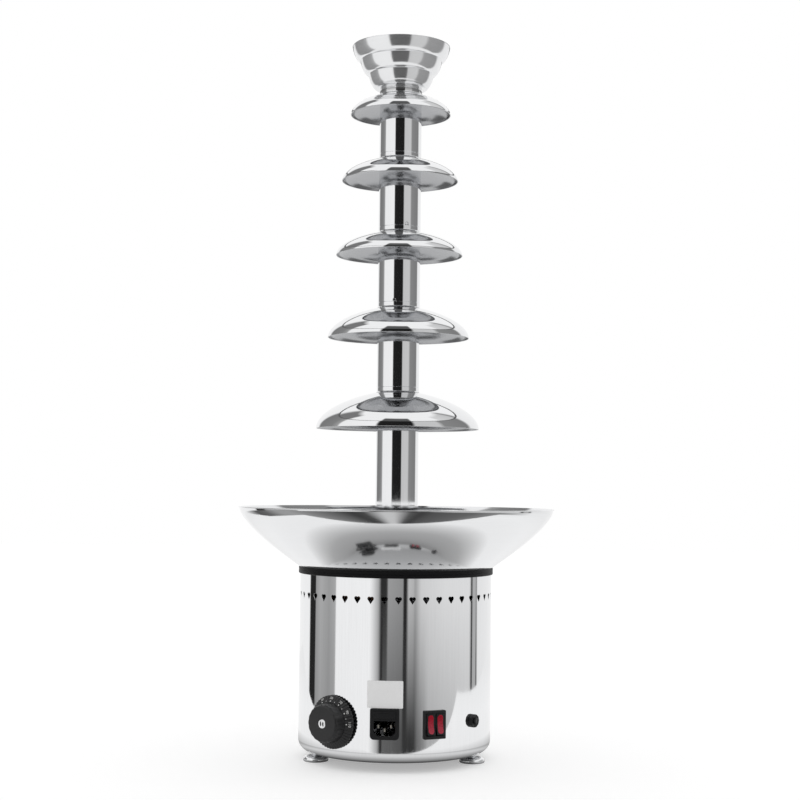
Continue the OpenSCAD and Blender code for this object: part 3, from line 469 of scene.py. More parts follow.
@dataclass(frozen=True)
class Finish:
    """A surface finish with its colour, gloss and fine marks."""

    name: str
    slot: str
    color: Color
    roughness: float
    metallic: float = 0.0
    grain: Grain = Grain.EVEN
    grain_scale: float = 900.0
    mottle: float = 0.05
    rough_swing: float = 0.03
    wave: float = 0.0
    wave_scale: float = 14.0
    bump: float = 0.0
    bump_scale: float = 2600.0
    transmission: float = 0.0
    specular: float = 0.5
    mark_share: float = 0.6
    cloud_scale: float = 23.0
    rough_span: Point = (0.35, 0.65)
    tint_span: Point = (0.3, 0.7)
    least_rough: float = 0.01
    drawn_stretch: float = 0.02

    def material(self) -> bpy.types.Material:
        """The finish as a material, made the first time it is asked for."""
        made = bpy.data.materials.get(self.name)
        if made is not None:
            return made
        made, tree = paint(self.name)
        place = self.coordinates(tree)
        marks = tree.add(
            "ShaderNodeTexNoise",
            {"Vector": place, "Scale": self.grain_scale, "Detail": 4.0, "Roughness": 0.6},
        ).outputs[0]
        shader = tree.add(
            "ShaderNodeBsdfPrincipled",
            {
                "Base Color": self.tint(tree, tree.span(marks, *self.tint_span)),
                "Roughness": self.gloss(tree, marks),
                "Metallic": self.metallic,
                "Specular IOR Level": self.specular,
                "Transmission Weight": self.transmission,
            },
        )
        self.relief(tree, shader, place)
        tree.add("ShaderNodeOutputMaterial", {"Surface": shader.outputs[0]})
        return made

    def coordinates(self, tree: Tree) -> Socket:
        """Coordinates that make the marks run the way of the grain."""
        own = tree.place()
        if self.grain is Grain.EVEN:
            return own
        if self.grain is Grain.DRAWN:
            stretch = (1.0, 1.0, self.drawn_stretch)
            return tree.add("ShaderNodeMapping", {"Vector": own, "Scale": stretch}).outputs[0]
        parts = tree.split(own)
        return tree.add("ShaderNodeCombineXYZ", {0: tree.reach(parts), 2: parts[2]}).outputs[0]

    def gloss(self, tree: Tree, marks: Socket) -> Socket:
        """The roughness, varied by the marks and by broad clouds."""
        clouds = tree.add(
            "ShaderNodeTexNoise", {"Vector": tree.place(), "Scale": self.cloud_scale, "Detail": 3.0}
        ).outputs[0]
        fine = tree.math("MULTIPLY", marks, self.mark_share)
        broad = tree.math("MULTIPLY", clouds, 1 - self.mark_share)
        low = max(self.least_rough, self.roughness - self.rough_swing)
        return tree.span(
            tree.math("ADD", fine, broad), *self.rough_span, low, self.roughness + self.rough_swing
        )

    def tint(self, tree: Tree, share: Socket) -> Socket:
        """The colour, varied a little by the marks."""
        dark = (*(max(0.0, c * (1 - self.mottle)) for c in self.color), 1.0)
        light = (*(min(1.0, c * (1 + self.mottle)) for c in self.color), 1.0)
        return tree.blend(share, dark, light)

    def relief(self, tree: Tree, shader: bpy.types.Node, place: Socket) -> None:
        """Fine relief of the surface, and the broad waves of a sheet."""
        normal = None
        waves = (self.wave, self.wave_scale, tree.place())
        for strength, scale, where in (waves, (self.bump, self.bump_scale, place)):
            if not strength:
                continue
            noise = tree.add("ShaderNodeTexNoise", {"Vector": where, "Scale": scale, "Detail": 2.0})
            inputs = {"Strength": strength, "Distance": MM, "Height": noise.outputs[0]}
            if normal is not None:
                inputs["Normal"] = normal
            normal = tree.add("ShaderNodeBump", inputs).outputs[0]
        if normal is not None:
            tree.tree.links.new(normal, shader.inputs["Normal"])


@dataclass(frozen=True)
class LensFinish(Finish):
    """Clear coloured plastic with a painted highlight that makes it paler towards its lower end, with
    heights in metres.
    """

    # pale is the colour of the painted highlight at the lens's lower end
    pale: Color = (0.9, 0.25, 0.35)
    painted_highlight_share: float = 0.17
    low: float = 0.044
    high: float = 0.062

    def tint(self, tree: Tree, share: Socket) -> Socket:
        """The colour, with a painted highlight that makes the lower end of the lens paler."""
        height = tree.split(tree.place())[2]
        # painted highlight: the colour turns towards the pale one near the lens's lower end
        pale = tree.span(height, self.low, self.high, self.painted_highlight_share, 0.0)
        return tree.blend(pale, super().tint(tree, share), (*self.pale, 1.0))


class Shop(Enum):
    """The finishes of the fountain."""

    SPUN_STEEL = Finish(
        "spun_steel", "polished_steel", (0.87, 0.875, 0.885), 0.05, 1.0, Grain.SPUN,
        grain_scale=1500.0, mottle=0.02, rough_swing=0.02, wave=0.012,
    )
    CROWN_STEEL = Finish(
        "crown_steel", "polished_steel", (0.87, 0.875, 0.885), 0.12, 0.82, Grain.SPUN,
        grain_scale=1500.0, mottle=0.02, rough_swing=0.03, wave=0.012,
    )
    BOWL_STEEL = Finish(
        "bowl_steel", "polished_steel", (0.86, 0.865, 0.875), 0.085, 1.0, Grain.SPUN,
        grain_scale=1800.0, mottle=0.025, rough_swing=0.03, wave=0.015,
    )
    ROLLED_STEEL = Finish(
        "rolled_steel", "polished_steel", (0.87, 0.875, 0.885), 0.045, 1.0, Grain.DRAWN,
        grain_scale=700.0, mottle=0.02, rough_swing=0.02, wave=0.01, wave_scale=9.0,
    )
    TUBE_STEEL = Finish(
        "tube_steel", "polished_steel", (0.86, 0.865, 0.875), 0.05, 1.0, Grain.DRAWN,
        grain_scale=1400.0, mottle=0.02, rough_swing=0.02,
    )
    # Steel for the domes' undersides: the higher roughness is a duller finish, the darker colour is painted
    # shade
    SHADED_DULL_STEEL = Finish(
        "dull_steel", "polished_steel", (0.43, 0.435, 0.445), 0.2, 1.0, Grain.SPUN,
        grain_scale=1200.0, mottle=0.05, rough_swing=0.06, wave=0.012,
    )
    MILL_STEEL = Finish(
        "mill_steel", "plain_steel", (0.6, 0.61, 0.63), 0.32, 1.0,
        grain_scale=420.0, mottle=0.08, rough_swing=0.08, bump=0.02, bump_scale=1200.0,
    )
    CHROME = Finish(
        "bright_chrome", "chrome", (0.84, 0.845, 0.855), 0.05, 1.0,
        grain_scale=300.0, mottle=0.05, rough_swing=0.03,
    )
    RUBBER = Finish(
        "gasket_rubber", "black_rubber", (0.005, 0.005, 0.0055), 0.5,
        grain_scale=1500.0, mottle=0.25, rough_swing=0.06, bump=0.02, bump_scale=2200.0, specular=0.14,
    )
    BRASS = Finish(
        "turned_brass", "brass", (0.78, 0.6, 0.3), 0.2, 1.0,
        grain_scale=800.0, mottle=0.07, rough_swing=0.06,
    )
    NICKEL = Finish(
        "nickel_blade", "brass", (0.36, 0.34, 0.3), 0.4, 1.0,
        grain_scale=1600.0, mottle=0.06, rough_swing=0.06,
    )
    COPPER = Finish(
        "drawn_copper", "copper", (0.75, 0.42, 0.26), 0.25, 1.0,
        grain_scale=700.0, mottle=0.08, rough_swing=0.06,
    )
    BLACK_MOULDING = Finish(
        "black_moulding", "black_plastic", (0.0105, 0.0105, 0.0115), 0.38,
        grain_scale=2200.0, mottle=0.22, rough_swing=0.07, bump=0.04, bump_scale=3600.0, specular=0.26,
    )
    KNOB_BLACK = Finish(
        "knob_black", "black_plastic", (0.013, 0.013, 0.014), 0.33,
        grain_scale=2600.0, mottle=0.2, rough_swing=0.05, bump=0.03, bump_scale=4200.0, specular=0.4,
    )
    # The rockers' red, with a painted highlight at their lower ends
    RED_LENS = LensFinish(
        "red_lens", "red_plastic", (0.32, 0.004, 0.018), 0.3,
        grain_scale=500.0, mottle=0.2, rough_swing=0.06, transmission=0.05, specular=0.14,
    )
    PALE_MOULDING = Finish(
        "pale_moulding", "pale_plastic", (0.82, 0.81, 0.76), 0.45,
        grain_scale=900.0, mottle=0.05, rough_swing=0.08, bump=0.04,
    )
    WHITE_PRINT = Finish(
        "white_print", "pale_plastic", (0.6, 0.6, 0.59), 0.5,
        grain_scale=2400.0, mottle=0.12, rough_swing=0.08,
    )
    FUSE_GLASS = Finish(
        "fuse_glass", "clear_glass", (0.9, 0.93, 0.93), 0.05,
        grain_scale=300.0, mottle=0.03, rough_swing=0.02, transmission=0.9,
    )
    FOIL = Finish(
        "label_foil", "silver_label", (0.88, 0.88, 0.88), 0.45, 0.0,
        grain_scale=1800.0, mottle=0.05, rough_swing=0.06, bump=0.02,
    )


def dress(piece: Piece, finish: Shop, body: str, *nodes: str) -> Piece:
    """Gives a finished piece its material, its body and the CAD nodes that it stands for.

    Args:
        piece: the modelled piece.
        finish: its finish.
        body: the body that it moves with.
        nodes: CAD nodes that it replaces.

    Returns:
        The same piece.
    """
    piece.data.materials.clear()
    piece.data.materials.append(finish.value.material())
    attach(piece, body)
    if nodes:
        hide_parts(*nodes)
    LOG.info("%s on %s, %d faces", piece.name, body, len(piece.data.polygons))
    return piece


@dataclass(frozen=True)
class Section:
    """One lift-off section of the tower: a tube with its cascade dome, in millimetres."""

    number: int
    pin: float | None
    notch: float | None
    tube_r: float = 25.0
    tube_wall: float = 1.2
    spigot_r: float = 23.5
    spigot_wall: float = 1.0
    spigot_h: float = 12.0
    spigot_root: float = 8.0
    collar_h: float = 6.0
    bead_w: float = 0.9
    bead_h: float = 1.6
    bead_bend: float = 0.8
    bead_at: tuple[float, ...] = (0.0, 0.15, 0.3, 0.45, 0.6, 0.8, 1.0)
    dome_wall: float = 1.0
    cone_share: float = 0.21
    under_down: float = 0.3
    under_in: float = 0.1
    edge: float = 0.35
    pin_r: float = 1.7
    gap: float = 0.3
    notch_below: float = 3.0
    notch_out: float = 2.0
    steps: int = 44
    rim_steps: int = 8
    edge_steps: int = 4
    notch_steps: int = 12
    pin_steps: int = 24

    @property
    def body(self) -> str:
        """The body that the section moves with."""
        return f"tier_{self.number}"

    @property
    def foot(self) -> float:
        """Height of the tube's lower end."""
        return mm_box(f"tube_{self.number}")[0].z

    @property
    def seam(self) -> float:
        """Height of the seam on top of the tube."""
        return mm_box(f"tube_{self.number}")[1].z - self.spigot_h

    def build(self) -> None:
        """Models the tube and the dome."""
        self.dome()
        self.tube()

    def shape(self, rho: float) -> float:
        """Height of the dome at a share of its radius, before scaling."""
        return (1 - self.cone_share) * math.sqrt(max(0.0, 1 - rho * rho)) + self.cone_share * (1 - rho)

    def dome_line(self, rim_r: float, depth: float, rim_z: float) -> list[Point]:
        """Points along the dome from its hole down to where its rim is rounded."""
        hole = self.tube_r + FIT
        start = math.asin(hole / rim_r)
        top = self.shape(hole / rim_r)
        line = []
        for i in range(self.steps + 1):
            rho = math.sin(start + (math.pi / 2 - start) * i / self.steps)
            line.append((rim_r * rho, rim_z + depth * self.shape(rho) / top))
        return [point for point in line if point[1] > rim_z + self.dome_wall / 2]

    def dome(self) -> None:
        """Spins the dome with a rounded rim."""
        node = f"dome_{self.number}"
        low, high = mm_box(node)
        rim_r, wall, depth = high.x, self.dome_wall, high.z - low.z
        outer = self.dome_line(rim_r, depth, low.z)
        inner = self.dome_line(rim_r - wall, depth - wall, low.z)
        rim = arc((rim_r - wall / 2, low.z + wall / 2), wall / 2, 0, -180, self.rim_steps)
        piece = Bench.lathe(f"spun_{node}", outer + rim + inner[::-1])
        dress(piece, Shop.SPUN_STEEL, self.body, node)
        # painted shade: darker steel on the dome's underside, along with its rougher finish
        self.shaded_dull_underside(piece)

    def shaded_dull_underside(self, piece: Piece) -> None:
        """Gives the hollow side of a dome a rougher finish, with a darker colour that is painted shade under
        the dome.
        """
        piece.data.materials.append(Shop.SHADED_DULL_STEEL.value.material())
        for face in piece.data.polygons:
            away = Vector((face.center.x, face.center.y, 0)).normalized()
            if face.normal.z < -self.under_down or face.normal.dot(away) < -self.under_in:
                face.material_index = 1

    def tube(self) -> None:
        """Turns the tube with its weld bead and spigot, and cuts its notch."""
        node = f"tube_{self.number}"
        r, top, foot, edge = self.tube_r, self.seam, self.foot, self.edge
        in_r = r - self.tube_wall
        spigot_in = self.spigot_r - self.spigot_wall
        bead_z, bend = top - self.collar_h + FIT, self.bead_bend
        bead = [(r + self.bead_w * (1 - t) ** 2, bead_z + self.bead_h * t ** bend) for t in self.bead_at]
        profile = (
            [(in_r, foot + edge), (in_r + edge, foot), (r - edge, foot), (r, foot + edge), (r, bead_z)]
            + bead
            + arc((r - edge, top - edge), edge, 0, 90, self.edge_steps)
            + [(self.spigot_r, top)]
            + arc((self.spigot_r - edge, top + self.spigot_h - edge), edge, 0, 90, self.edge_steps)
            + [(spigot_in, top + self.spigot_h), (spigot_in, top - self.spigot_root)]
            + [(in_r, top - self.spigot_root - self.spigot_wall)]
        )
        piece = Bench.lathe(f"drawn_{node}", profile)
        if self.notch is not None:
            Bench.cut(piece, self.notch_cutter())
        if self.number == len(TOWER):
            self.tower_foot(piece)
        Bench.true_round(piece, r, in_r, self.spigot_r, spigot_in)
        if self.pin is not None:
            piece = Bench.join(piece, self.seam_pin())
        dress(piece, Shop.TUBE_STEEL, self.body, node)

    def seam_pin(self) -> Piece:
        """The round pin that stands out of the spigot."""
        inner = self.spigot_r - self.spigot_wall / 2
        edge = self.edge
        profile = [(0, inner), (self.pin_r, inner), (self.pin_r, self.tube_r - edge)]
        profile += [(self.pin_r - edge, self.tube_r), (0, self.tube_r)]
        pin = Bench.lathe("seam_pin", profile, self.pin_steps, closed=False)
        return Bench.place(pin, self.radial(self.pin, self.seam + self.pin_r + self.gap))

    def notch_cutter(self) -> Piece:
        """The slot in the tube's foot that fits over the pin below."""
        half, low = self.pin_r + self.gap, -self.notch_below
        outline = [(-half, low), (half, low)] + arc((0, half), half, 0, 180, self.notch_steps)
        cutter = Bench.prism("notch", outline, self.spigot_r, self.tube_r + self.notch_out)
        return Bench.place(cutter, self.radial(self.notch, self.foot))

    @staticmethod
    def radial(azimuth: float, height: float) -> Matrix:
        """Frame on the tower's axis with Z pointing out at an azimuth and Y up."""
        face = panel(azimuth, height)
        face.translation = Vector((0, 0, height * MM))
        return face

    def tower_foot(self, piece: Piece) -> None:
        """Adds the flange over the bowl's studs and cuts the intakes for the chocolate."""
        foot = TowerFoot()
        flange = foot.flange(self.tube_r, self.foot)
        low = self.foot + foot.flange_t + foot.intake_rise
        places = [self.radial(azimuth, low) for azimuth in foot.intake_azimuths]
        Bench.cut(piece, Bench.copies(foot.intake(self.tube_r), places))
        Bench.join(piece, flange)


@dataclass(frozen=True)
class TowerFoot:
    """The tower's flange, the studs in the bowl that it fits over, and its intakes, in millimetres."""

    flange_r: float = 37.0
    flange_t: float = 2.0
    root: float = 0.4
    low_edge: float = 0.3
    top_edge: float = 0.4
    weld: float = 1.2
    hole_gap: float = 0.3
    stud_circle: float = 31.0
    stud_r: float = 2.5
    stud_h: float = 6.0
    stud_edge: float = 0.8
    stud_root: float = 0.5
    stud_count: int = 3
    stud_steps: int = 32
    intake_w: float = 20.0
    intake_h: float = 12.0
    intake_rise: float = 0.5
    intake_reach: float = 10.0
    intake_azimuths: tuple[float, ...] = (150.0, 270.0, 30.0)
    intake_steps: int = 20

    def stud_places(self, height: float) -> list[Matrix]:
        """Places of the studs at a height in millimetres."""
        return ring_places(self.stud_circle, even_angles(self.stud_count), height)

    def flange(self, tube_r: float, floor: float) -> Piece:
        """The flange round a tube's foot, with its holes for the studs."""
        r, top = self.flange_r, floor + self.flange_t
        ring = [(tube_r - self.root, floor), (r - self.low_edge, floor), (r, floor + self.low_edge)]
        ring += [(r, top - self.top_edge), (r - self.top_edge, top)]
        ring += [(tube_r + self.weld, top), (tube_r - self.root, top + self.weld)]
        flange = Bench.lathe("flange", ring)
        hole = Bench.rod("stud_hole", self.stud_r + self.hole_gap, -1, 2 * self.flange_t, self.stud_steps)
        return Bench.cut(flange, Bench.copies(hole, self.stud_places(floor)))

    def intake(self, tube_r: float) -> Piece:
        """Cutter for one arched intake in a tube's wall."""
        half = self.intake_w / 2
        outline = [(-half, 0), (half, 0)] + arc((0, self.intake_h), half, 0, 180, self.intake_steps)
        return Bench.prism("intake", outline, tube_r / 2, tube_r + self.intake_reach)

    def studs(self, floor: float) -> Piece:
        """The studs on the bowl's floor."""
        r, h, edge, root = self.stud_r, self.stud_h, self.stud_edge, -self.stud_root
        profile = [(0, root), (r, root), (r, h - edge), (r - edge, h), (0, h)]
        stud = Bench.lathe("stud", profile, self.stud_steps, closed=False)
        return Bench.copies(stud, self.stud_places(floor))


TOWER = (
    Section(1, None, 140.0),
    Section(2, 140.0, 20.0),
    Section(3, 20.0, -12.0),
    Section(4, -12.0, -100.0),
    Section(5, -100.0, None),
)


@dataclass(frozen=True)
class Crown:
    """The stepped cup on top of the tower, in millimetres."""

    tube_r: float = 25.0
    tube_wall: float = 1.2
    wall: float = 1.0
    edge: float = 0.4
    steps: int = 3
    step_h: float = 17.0
    neck_h: float = 2.5
    foot_w: float = 4.0
    cone_share: float = 0.3
    arc_steps: int = 18
    rim_steps: int = 8

    def line(self, top_r: float, width: float, top_z: float) -> list[Point]:
        """Points along the steps from the lowest inner edge to the rim."""
        points = []
        for step in reversed(range(self.steps)):
            for i in range(self.arc_steps, -1, -1):
                t = math.sin(math.pi / 2 * i / self.arc_steps)
                inward = (1 - self.cone_share) * (1 - math.sqrt(1 - t * t)) + self.cone_share * t
                points.append((top_r - width * (step + inward), top_z - self.step_h * (step + t)))
        return points

    def build(self) -> None:
        """Spins the crown."""
        low, high = mm_box("crown")
        rim_r, foot, top = high.x, low.z, high.z
        r, edge, round_r = self.tube_r, self.edge, self.wall / 2
        width = (rim_r - r - self.foot_w) / self.steps
        neck, in_r = foot + self.neck_h, r - self.tube_wall
        outer = self.line(rim_r, width, top)
        inner = self.line(rim_r - self.wall, width, top + self.wall)
        outer, inner = ([p for p in line if p[1] < top - round_r] for line in (outer, inner))
        rim = arc((rim_r - round_r, top - round_r), round_r, 0, 180, self.rim_steps)
        start = [(in_r, foot), (r - edge, foot), (r, foot + edge), (r, neck)]
        piece = Bench.lathe("spun_crown", start + outer + rim + inner[::-1] + [(in_r, neck + self.wall)])
        dress(piece, Shop.CROWN_STEEL, "crown", "crown")


@dataclass(frozen=True)
class Auger:
    """The screw that lifts the chocolate inside the tower, in millimetres."""

    shaft_r: float = 8.0
    shaft_steps: int = 96
    tip_r: float = 3.0
    tip_steps: int = 8
    edge: float = 0.4
    socket_r: float = 5.1
    socket_l: float = 24.0
    slot_w: float = 4.6
    slot_h: float = 10.3
    flight_r: float = 21.5
    flight_t: float = 2.5
    flight_root: float = 0.2
    pitch: float = 48.0
    steps_per_turn: int = 40

    def build(self) -> None:
        """Models the shaft and the flight."""
        low, high = mm_box("auger_shaft")
        r, tip, foot, edge = self.shaft_r, high.z, low.z, self.edge
        top = foot + self.socket_l
        profile = [(0, top), (self.socket_r, top), (self.socket_r, foot), (r - edge, foot), (r, foot + edge)]
        profile += arc((r - self.tip_r, tip - self.tip_r), self.tip_r, 0, 90, self.tip_steps) + [(0, tip)]
        shaft = Bench.lathe("turned_auger_shaft", profile, self.shaft_steps, closed=False)
        slot = Bench.block("slot", (3 * r, self.slot_w, self.slot_h * 2), (0, 0, foot))
        Bench.true_round(Bench.cut(shaft, slot), r, self.socket_r)
        dress(shaft, Shop.TUBE_STEEL, "auger", "auger_shaft")
        self.flight()

    def flight(self) -> None:
        """Sweeps the flight round the shaft with a screw modifier."""
        low, high = mm_box("auger_flight")
        rise = high.z - low.z - self.flight_t
        edge, root = self.edge, self.shaft_r - self.flight_root
        r, base, top = self.flight_r, low.z, low.z + self.flight_t
        outline = [(root, base), (r - edge, base), (r, base + edge)]
        outline += [(r, top - edge), (r - edge, top), (root, top)]
        piece = Bench.wire("swept_auger_flight", [Vector((x * MM, 0, z * MM)) for x, z in outline], True)
        bpy.ops.object.mode_set(mode="OBJECT")
        turns = rise / self.pitch
        sweep = piece.modifiers.new("sweep", "SCREW")
        sweep.angle = math.tau * turns
        sweep.screw_offset = rise * MM
        sweep.steps = sweep.render_steps = round(turns * self.steps_per_turn)
        sweep.use_merge_vertices = False
        bpy.ops.object.modifier_apply(modifier=sweep.name)
        bpy.ops.object.mode_set(mode="EDIT")
        bpy.ops.mesh.select_all(action="DESELECT")
        bpy.ops.mesh.select_mode(type="EDGE")
        bpy.ops.mesh.select_non_manifold(extend=False)
        bpy.ops.mesh.fill_holes(sides=0)
        dress(Bench.close_up(piece), Shop.TUBE_STEEL, "auger", "auger_flight")


@dataclass(frozen=True)
class Bowl:
    """The heated bowl and the gasket that it stands on, in millimetres."""

    lip_w: float = 1.5
    wall: float = 1.2
    cone: float = 98.5
    crown: float = 38.0
    floor_r: float = 62.0
    hub_r: float = 15.05
    gasket_edge: float = 1.0
    gasket_turn: float = 70.0
    gasket_steps: int = 5
    gasket_seat: float = 0.15
    gasket_w: float = 4.7
    groove_d: float = 0.35
    groove_top: float = 0.6
    groove_floor: float = 0.2
    steps: int = 56
    lip_steps: int = 8
    segments: int = 256

    def drop(self, r: float, wall_r: float) -> float:
        """Depth of the bowl's wall below its rim at a radius."""
        rho = min(1.0, r / wall_r)
        return self.cone * (1 - rho) + self.crown * math.sqrt(1 - rho * rho)

    def wall_line(self, wall_r: float, rim: float, share: float) -> list[Point]:
        """Points along the wall from its floor to its rim."""
        start = math.asin(self.floor_r / wall_r)
        line = []
        for i in range(self.steps + 1):
            r = wall_r * math.sin(start + (math.pi / 2 - start) * i / self.steps)
            line.append((r, rim - share * self.drop(r, wall_r)))
        return line

    def build(self) -> None:
        """Spins the bowl with its lip, adds its studs, and makes the gasket."""
        low, high = mm_box("bowl")
        lip_r, top, round_r = high.x, high.z, self.wall / 2
        rim = top - self.wall
        out_r = lip_r - self.lip_w
        in_r = out_r - self.wall
        floor = low.z + self.wall
        share = (top - floor) / self.drop(self.floor_r, in_r)
        lip = arc((lip_r - round_r, rim + round_r), round_r, -90, 90, self.lip_steps)
        profile = [(self.hub_r, low.z)] + self.wall_line(out_r, rim, 1.0) + lip
        profile += self.wall_line(in_r, top, share)[::-1] + [(self.hub_r, floor)]
        bowl = Bench.lathe("spun_bowl", profile, self.segments)
        bowl = Bench.join(bowl, TowerFoot().studs(floor))
        dress(bowl, Shop.BOWL_STEEL, BASE, "bowl")
        self.gasket(out_r, rim)

    def gasket(self, wall_r: float, rim: float) -> None:
        """Moulds the black gasket with rounded edges and a shallow groove under the bowl's wall."""
        low, high = mm_box("bowl_gasket")
        r, base, edge = high.x, low.z, self.gasket_edge
        inner = mm_box("drum_shell")[1].x - self.gasket_w
        shoulder, inner_z = (rim - self.drop(at, wall_r) - self.gasket_seat for at in (r, inner))
        middle, groove_r = (base + shoulder) / 2, r - self.groove_d
        profile = arc((r - edge, base + edge), edge, -90, 0, self.gasket_steps)
        profile += [(r, middle - self.groove_top), (groove_r, middle - self.groove_floor)]
        profile += [(groove_r, middle + self.groove_floor), (r, middle + self.groove_top)]
        profile += arc((r - edge, shoulder - edge), edge, 0, self.gasket_turn, self.gasket_steps)
        profile += [(inner, inner_z), (inner, base)]
        piece = Bench.lathe("moulded_gasket", profile, self.segments)
        dress(piece, Shop.RUBBER, BASE, "bowl_gasket")


@dataclass(frozen=True)
class Drum:
    """The drum with its heart-shaped vents, feet and rating plate, in millimetres."""

    radius: float = 111.8
    wall: float = 1.2
    edge_r: float = 12.0
    edge_steps: int = 20
    opening_r: float = 70.0
    bands: int = 12
    vents: int = 45
    vent_start: float = 1.7
    vent_w: float = 7.5
    vent_h: float = 8.2
    vent_drop: float = 24.3
    vent_reach: float = 4.0
    lobe_share: float = 0.29
    lobe_steps: int = 12
    segments: int = 288
    hole_gap: float = 0.3
    hole_reach: float = 20.0
    hole_steps: int = 32
    spindle_hole_r: float = 4.0
    neck_hole_r: float = 6.1
    plate_w: float = 40.0
    plate_t: float = 0.35
    plate_corner: float = 1.2
    plate_strips: int = 24

    def build(self) -> None:
        """Rolls the drum, cuts its vents and holes, and adds what is fixed to it."""
        self.skin()
        Feet().build()
        self.rating_plate()
        CoverScrews().build()

    def heart(self) -> list[Point]:
        """Outline of one vent, with its point down."""
        lobe_r = self.lobe_share * self.vent_w
        lobe_x = self.vent_w / 2 - lobe_r
        tip = self.vent_h - lobe_r
        reach = math.degrees(math.acos(lobe_r / math.hypot(lobe_x, tip)))
        start = math.degrees(math.atan2(-tip, -lobe_x)) + reach
        end = 180 - math.degrees(math.acos(lobe_x / lobe_r))
        right = arc((lobe_x, 0), lobe_r, start, end, self.lobe_steps)
        left = [(-x, y) for x, y in right[-2::-1]]
        rise = self.vent_h / 2 - lobe_r
        return [(x, y + rise) for x, y in [(0, -tip)] + right + left]

    def skin(self) -> None:
        """The rolled wall with its rounded lower edge and floor ring."""
        low, high = mm_box("drum_shell")
        r, wall, edge, base = self.radius, self.wall, self.edge_r, low.z
        centre, straight = (r - edge, base + edge), high.z - base - edge
        heights = [base + edge + straight * i / self.bands for i in range(1, self.bands + 1)]
        profile = [(self.opening_r, base)] + arc(centre, edge, -90, 0, self.edge_steps)
        profile += [(r, z) for z in heights] + [(r - wall, z) for z in heights[::-1]]
        profile += arc(centre, edge - wall, 0, -90, self.edge_steps) + [(self.opening_r, base + wall)]
        drum = Bench.lathe("rolled_drum", profile, self.segments)
        vent_z = mm_box("bowl_gasket")[0].z - self.vent_drop
        heart = Bench.prism("heart", self.heart(), -self.vent_reach, self.vent_reach)
        places = [panel(azimuth, vent_z) for azimuth in even_angles(self.vents, self.vent_start)]
        Bench.cut(drum, Bench.copies(heart, places), self.panel_holes())
        Bench.true_round(drum, r, r - wall)
        dress(drum, Shop.ROLLED_STEEL, BASE, "drum_shell")

    def panel_holes(self) -> Piece:
        """Cutters for the holes behind the controls."""
        reach = self.hole_reach
        holes = []
        for control in (Inlet, Switch):
            width, tall = (size + 2 * self.hole_gap for size in control.back)
            hole = Bench.block("hole", (width, tall, 2 * reach), (0, 0, 0))
            holes.append(Bench.place(hole, panel(control.azimuth, control.height)))
        for control, radius in ((Knob, self.spindle_hole_r), (Protector, self.neck_hole_r)):
            hole = Bench.rod("hole", radius, -reach, reach, self.hole_steps)
            holes.append(Bench.place(hole, panel(control.azimuth, control.height)))
        return Bench.join(*holes)

    def rating_plate(self) -> None:
        """Bends the bare rating plate round the drum, with rounded corners."""
        low, high = mm_box("rating_plate")
        width, height, corner = self.plate_w, high.z - low.z, self.plate_corner
        outline = rounded_outline(width, height, corner, corner)
        plate = Bench.prism("bare_rating_plate", outline, 0, self.plate_t)
        bpy.ops.object.mode_set(mode="EDIT")
        for i in range(1, self.plate_strips):
            x = (-width / 2 + width * i / self.plate_strips) * MM
            bpy.ops.mesh.select_all(action="SELECT")
            bpy.ops.mesh.bisect(plane_co=(x, 0, 0), plane_no=(1, 0, 0))
        bpy.ops.object.mode_set(mode="OBJECT")
        middle = (low.z + high.z) / 2
        for vertex in plate.data.vertices:
            x, y, z = vertex.co / MM
            place = panel(Inlet.azimuth + math.degrees(x / self.radius), middle + y)
            vertex.co = place @ Vector((0, 0, (z + FIT) * MM))
        dress(Bench.shade(plate), Shop.FOIL, BASE, "rating_plate")


@dataclass(frozen=True)
class Feet:
    """The three domed feet, in millimetres."""

    disc_r: float = 14.5
    disc_edge: float = 1.0
    edge_share: float = 0.3
    rim_h: float = 2.5
    dome_share: float = 0.68
    dome_steps: int = 14
    neck_r: float = 4.7
    fillet_w: float = 0.6
    fillet_h: float = 0.7
    stud_r: float = 3.9
    stud_edge: float = 0.6
    steps: int = 72

    def build(self) -> None:
        """Turns one foot and copies it."""
        low, high = mm_box("feet")
        circle = high.y - self.disc_r
        side = math.degrees(math.asin(((high.x - low.x) / 2 - self.disc_r) / circle))
        profile = self.profile(mm_box("drum_shell")[0].z, high.z)
        foot = Bench.lathe("turned_feet", profile, self.steps, closed=False)
        places = ring_places(circle, (-90 - side, -90 + side, 90))
        dress(Bench.copies(foot, places), Shop.CHROME, BASE, "feet")

    def profile(self, drum_z: float, stud_z: float) -> list[Point]:
        """A foot's profile, from its middle on the table to the top of its stud in the drum."""
        disc_r, neck, stud, edge = self.disc_r, self.neck_r, self.stud_r, self.stud_edge
        rim, top, root = self.rim_h, self.dome_share * drum_z, self.neck_r + self.fillet_w
        fine = self.edge_share * self.disc_edge
        line = [(0, 0), (disc_r - self.disc_edge, 0), (disc_r - fine, fine), (disc_r, self.disc_edge)]
        for x, z in arc((0, 0), 1, 0, 90, self.dome_steps):
            line.append((root + (disc_r - root) * x, rim + (top - rim) * z))
        line += [(neck, top + self.fillet_h), (neck, drum_z), (stud, drum_z)]
        return line + [(stud, stud_z - edge), (stud - edge, stud_z), (0, stud_z)]


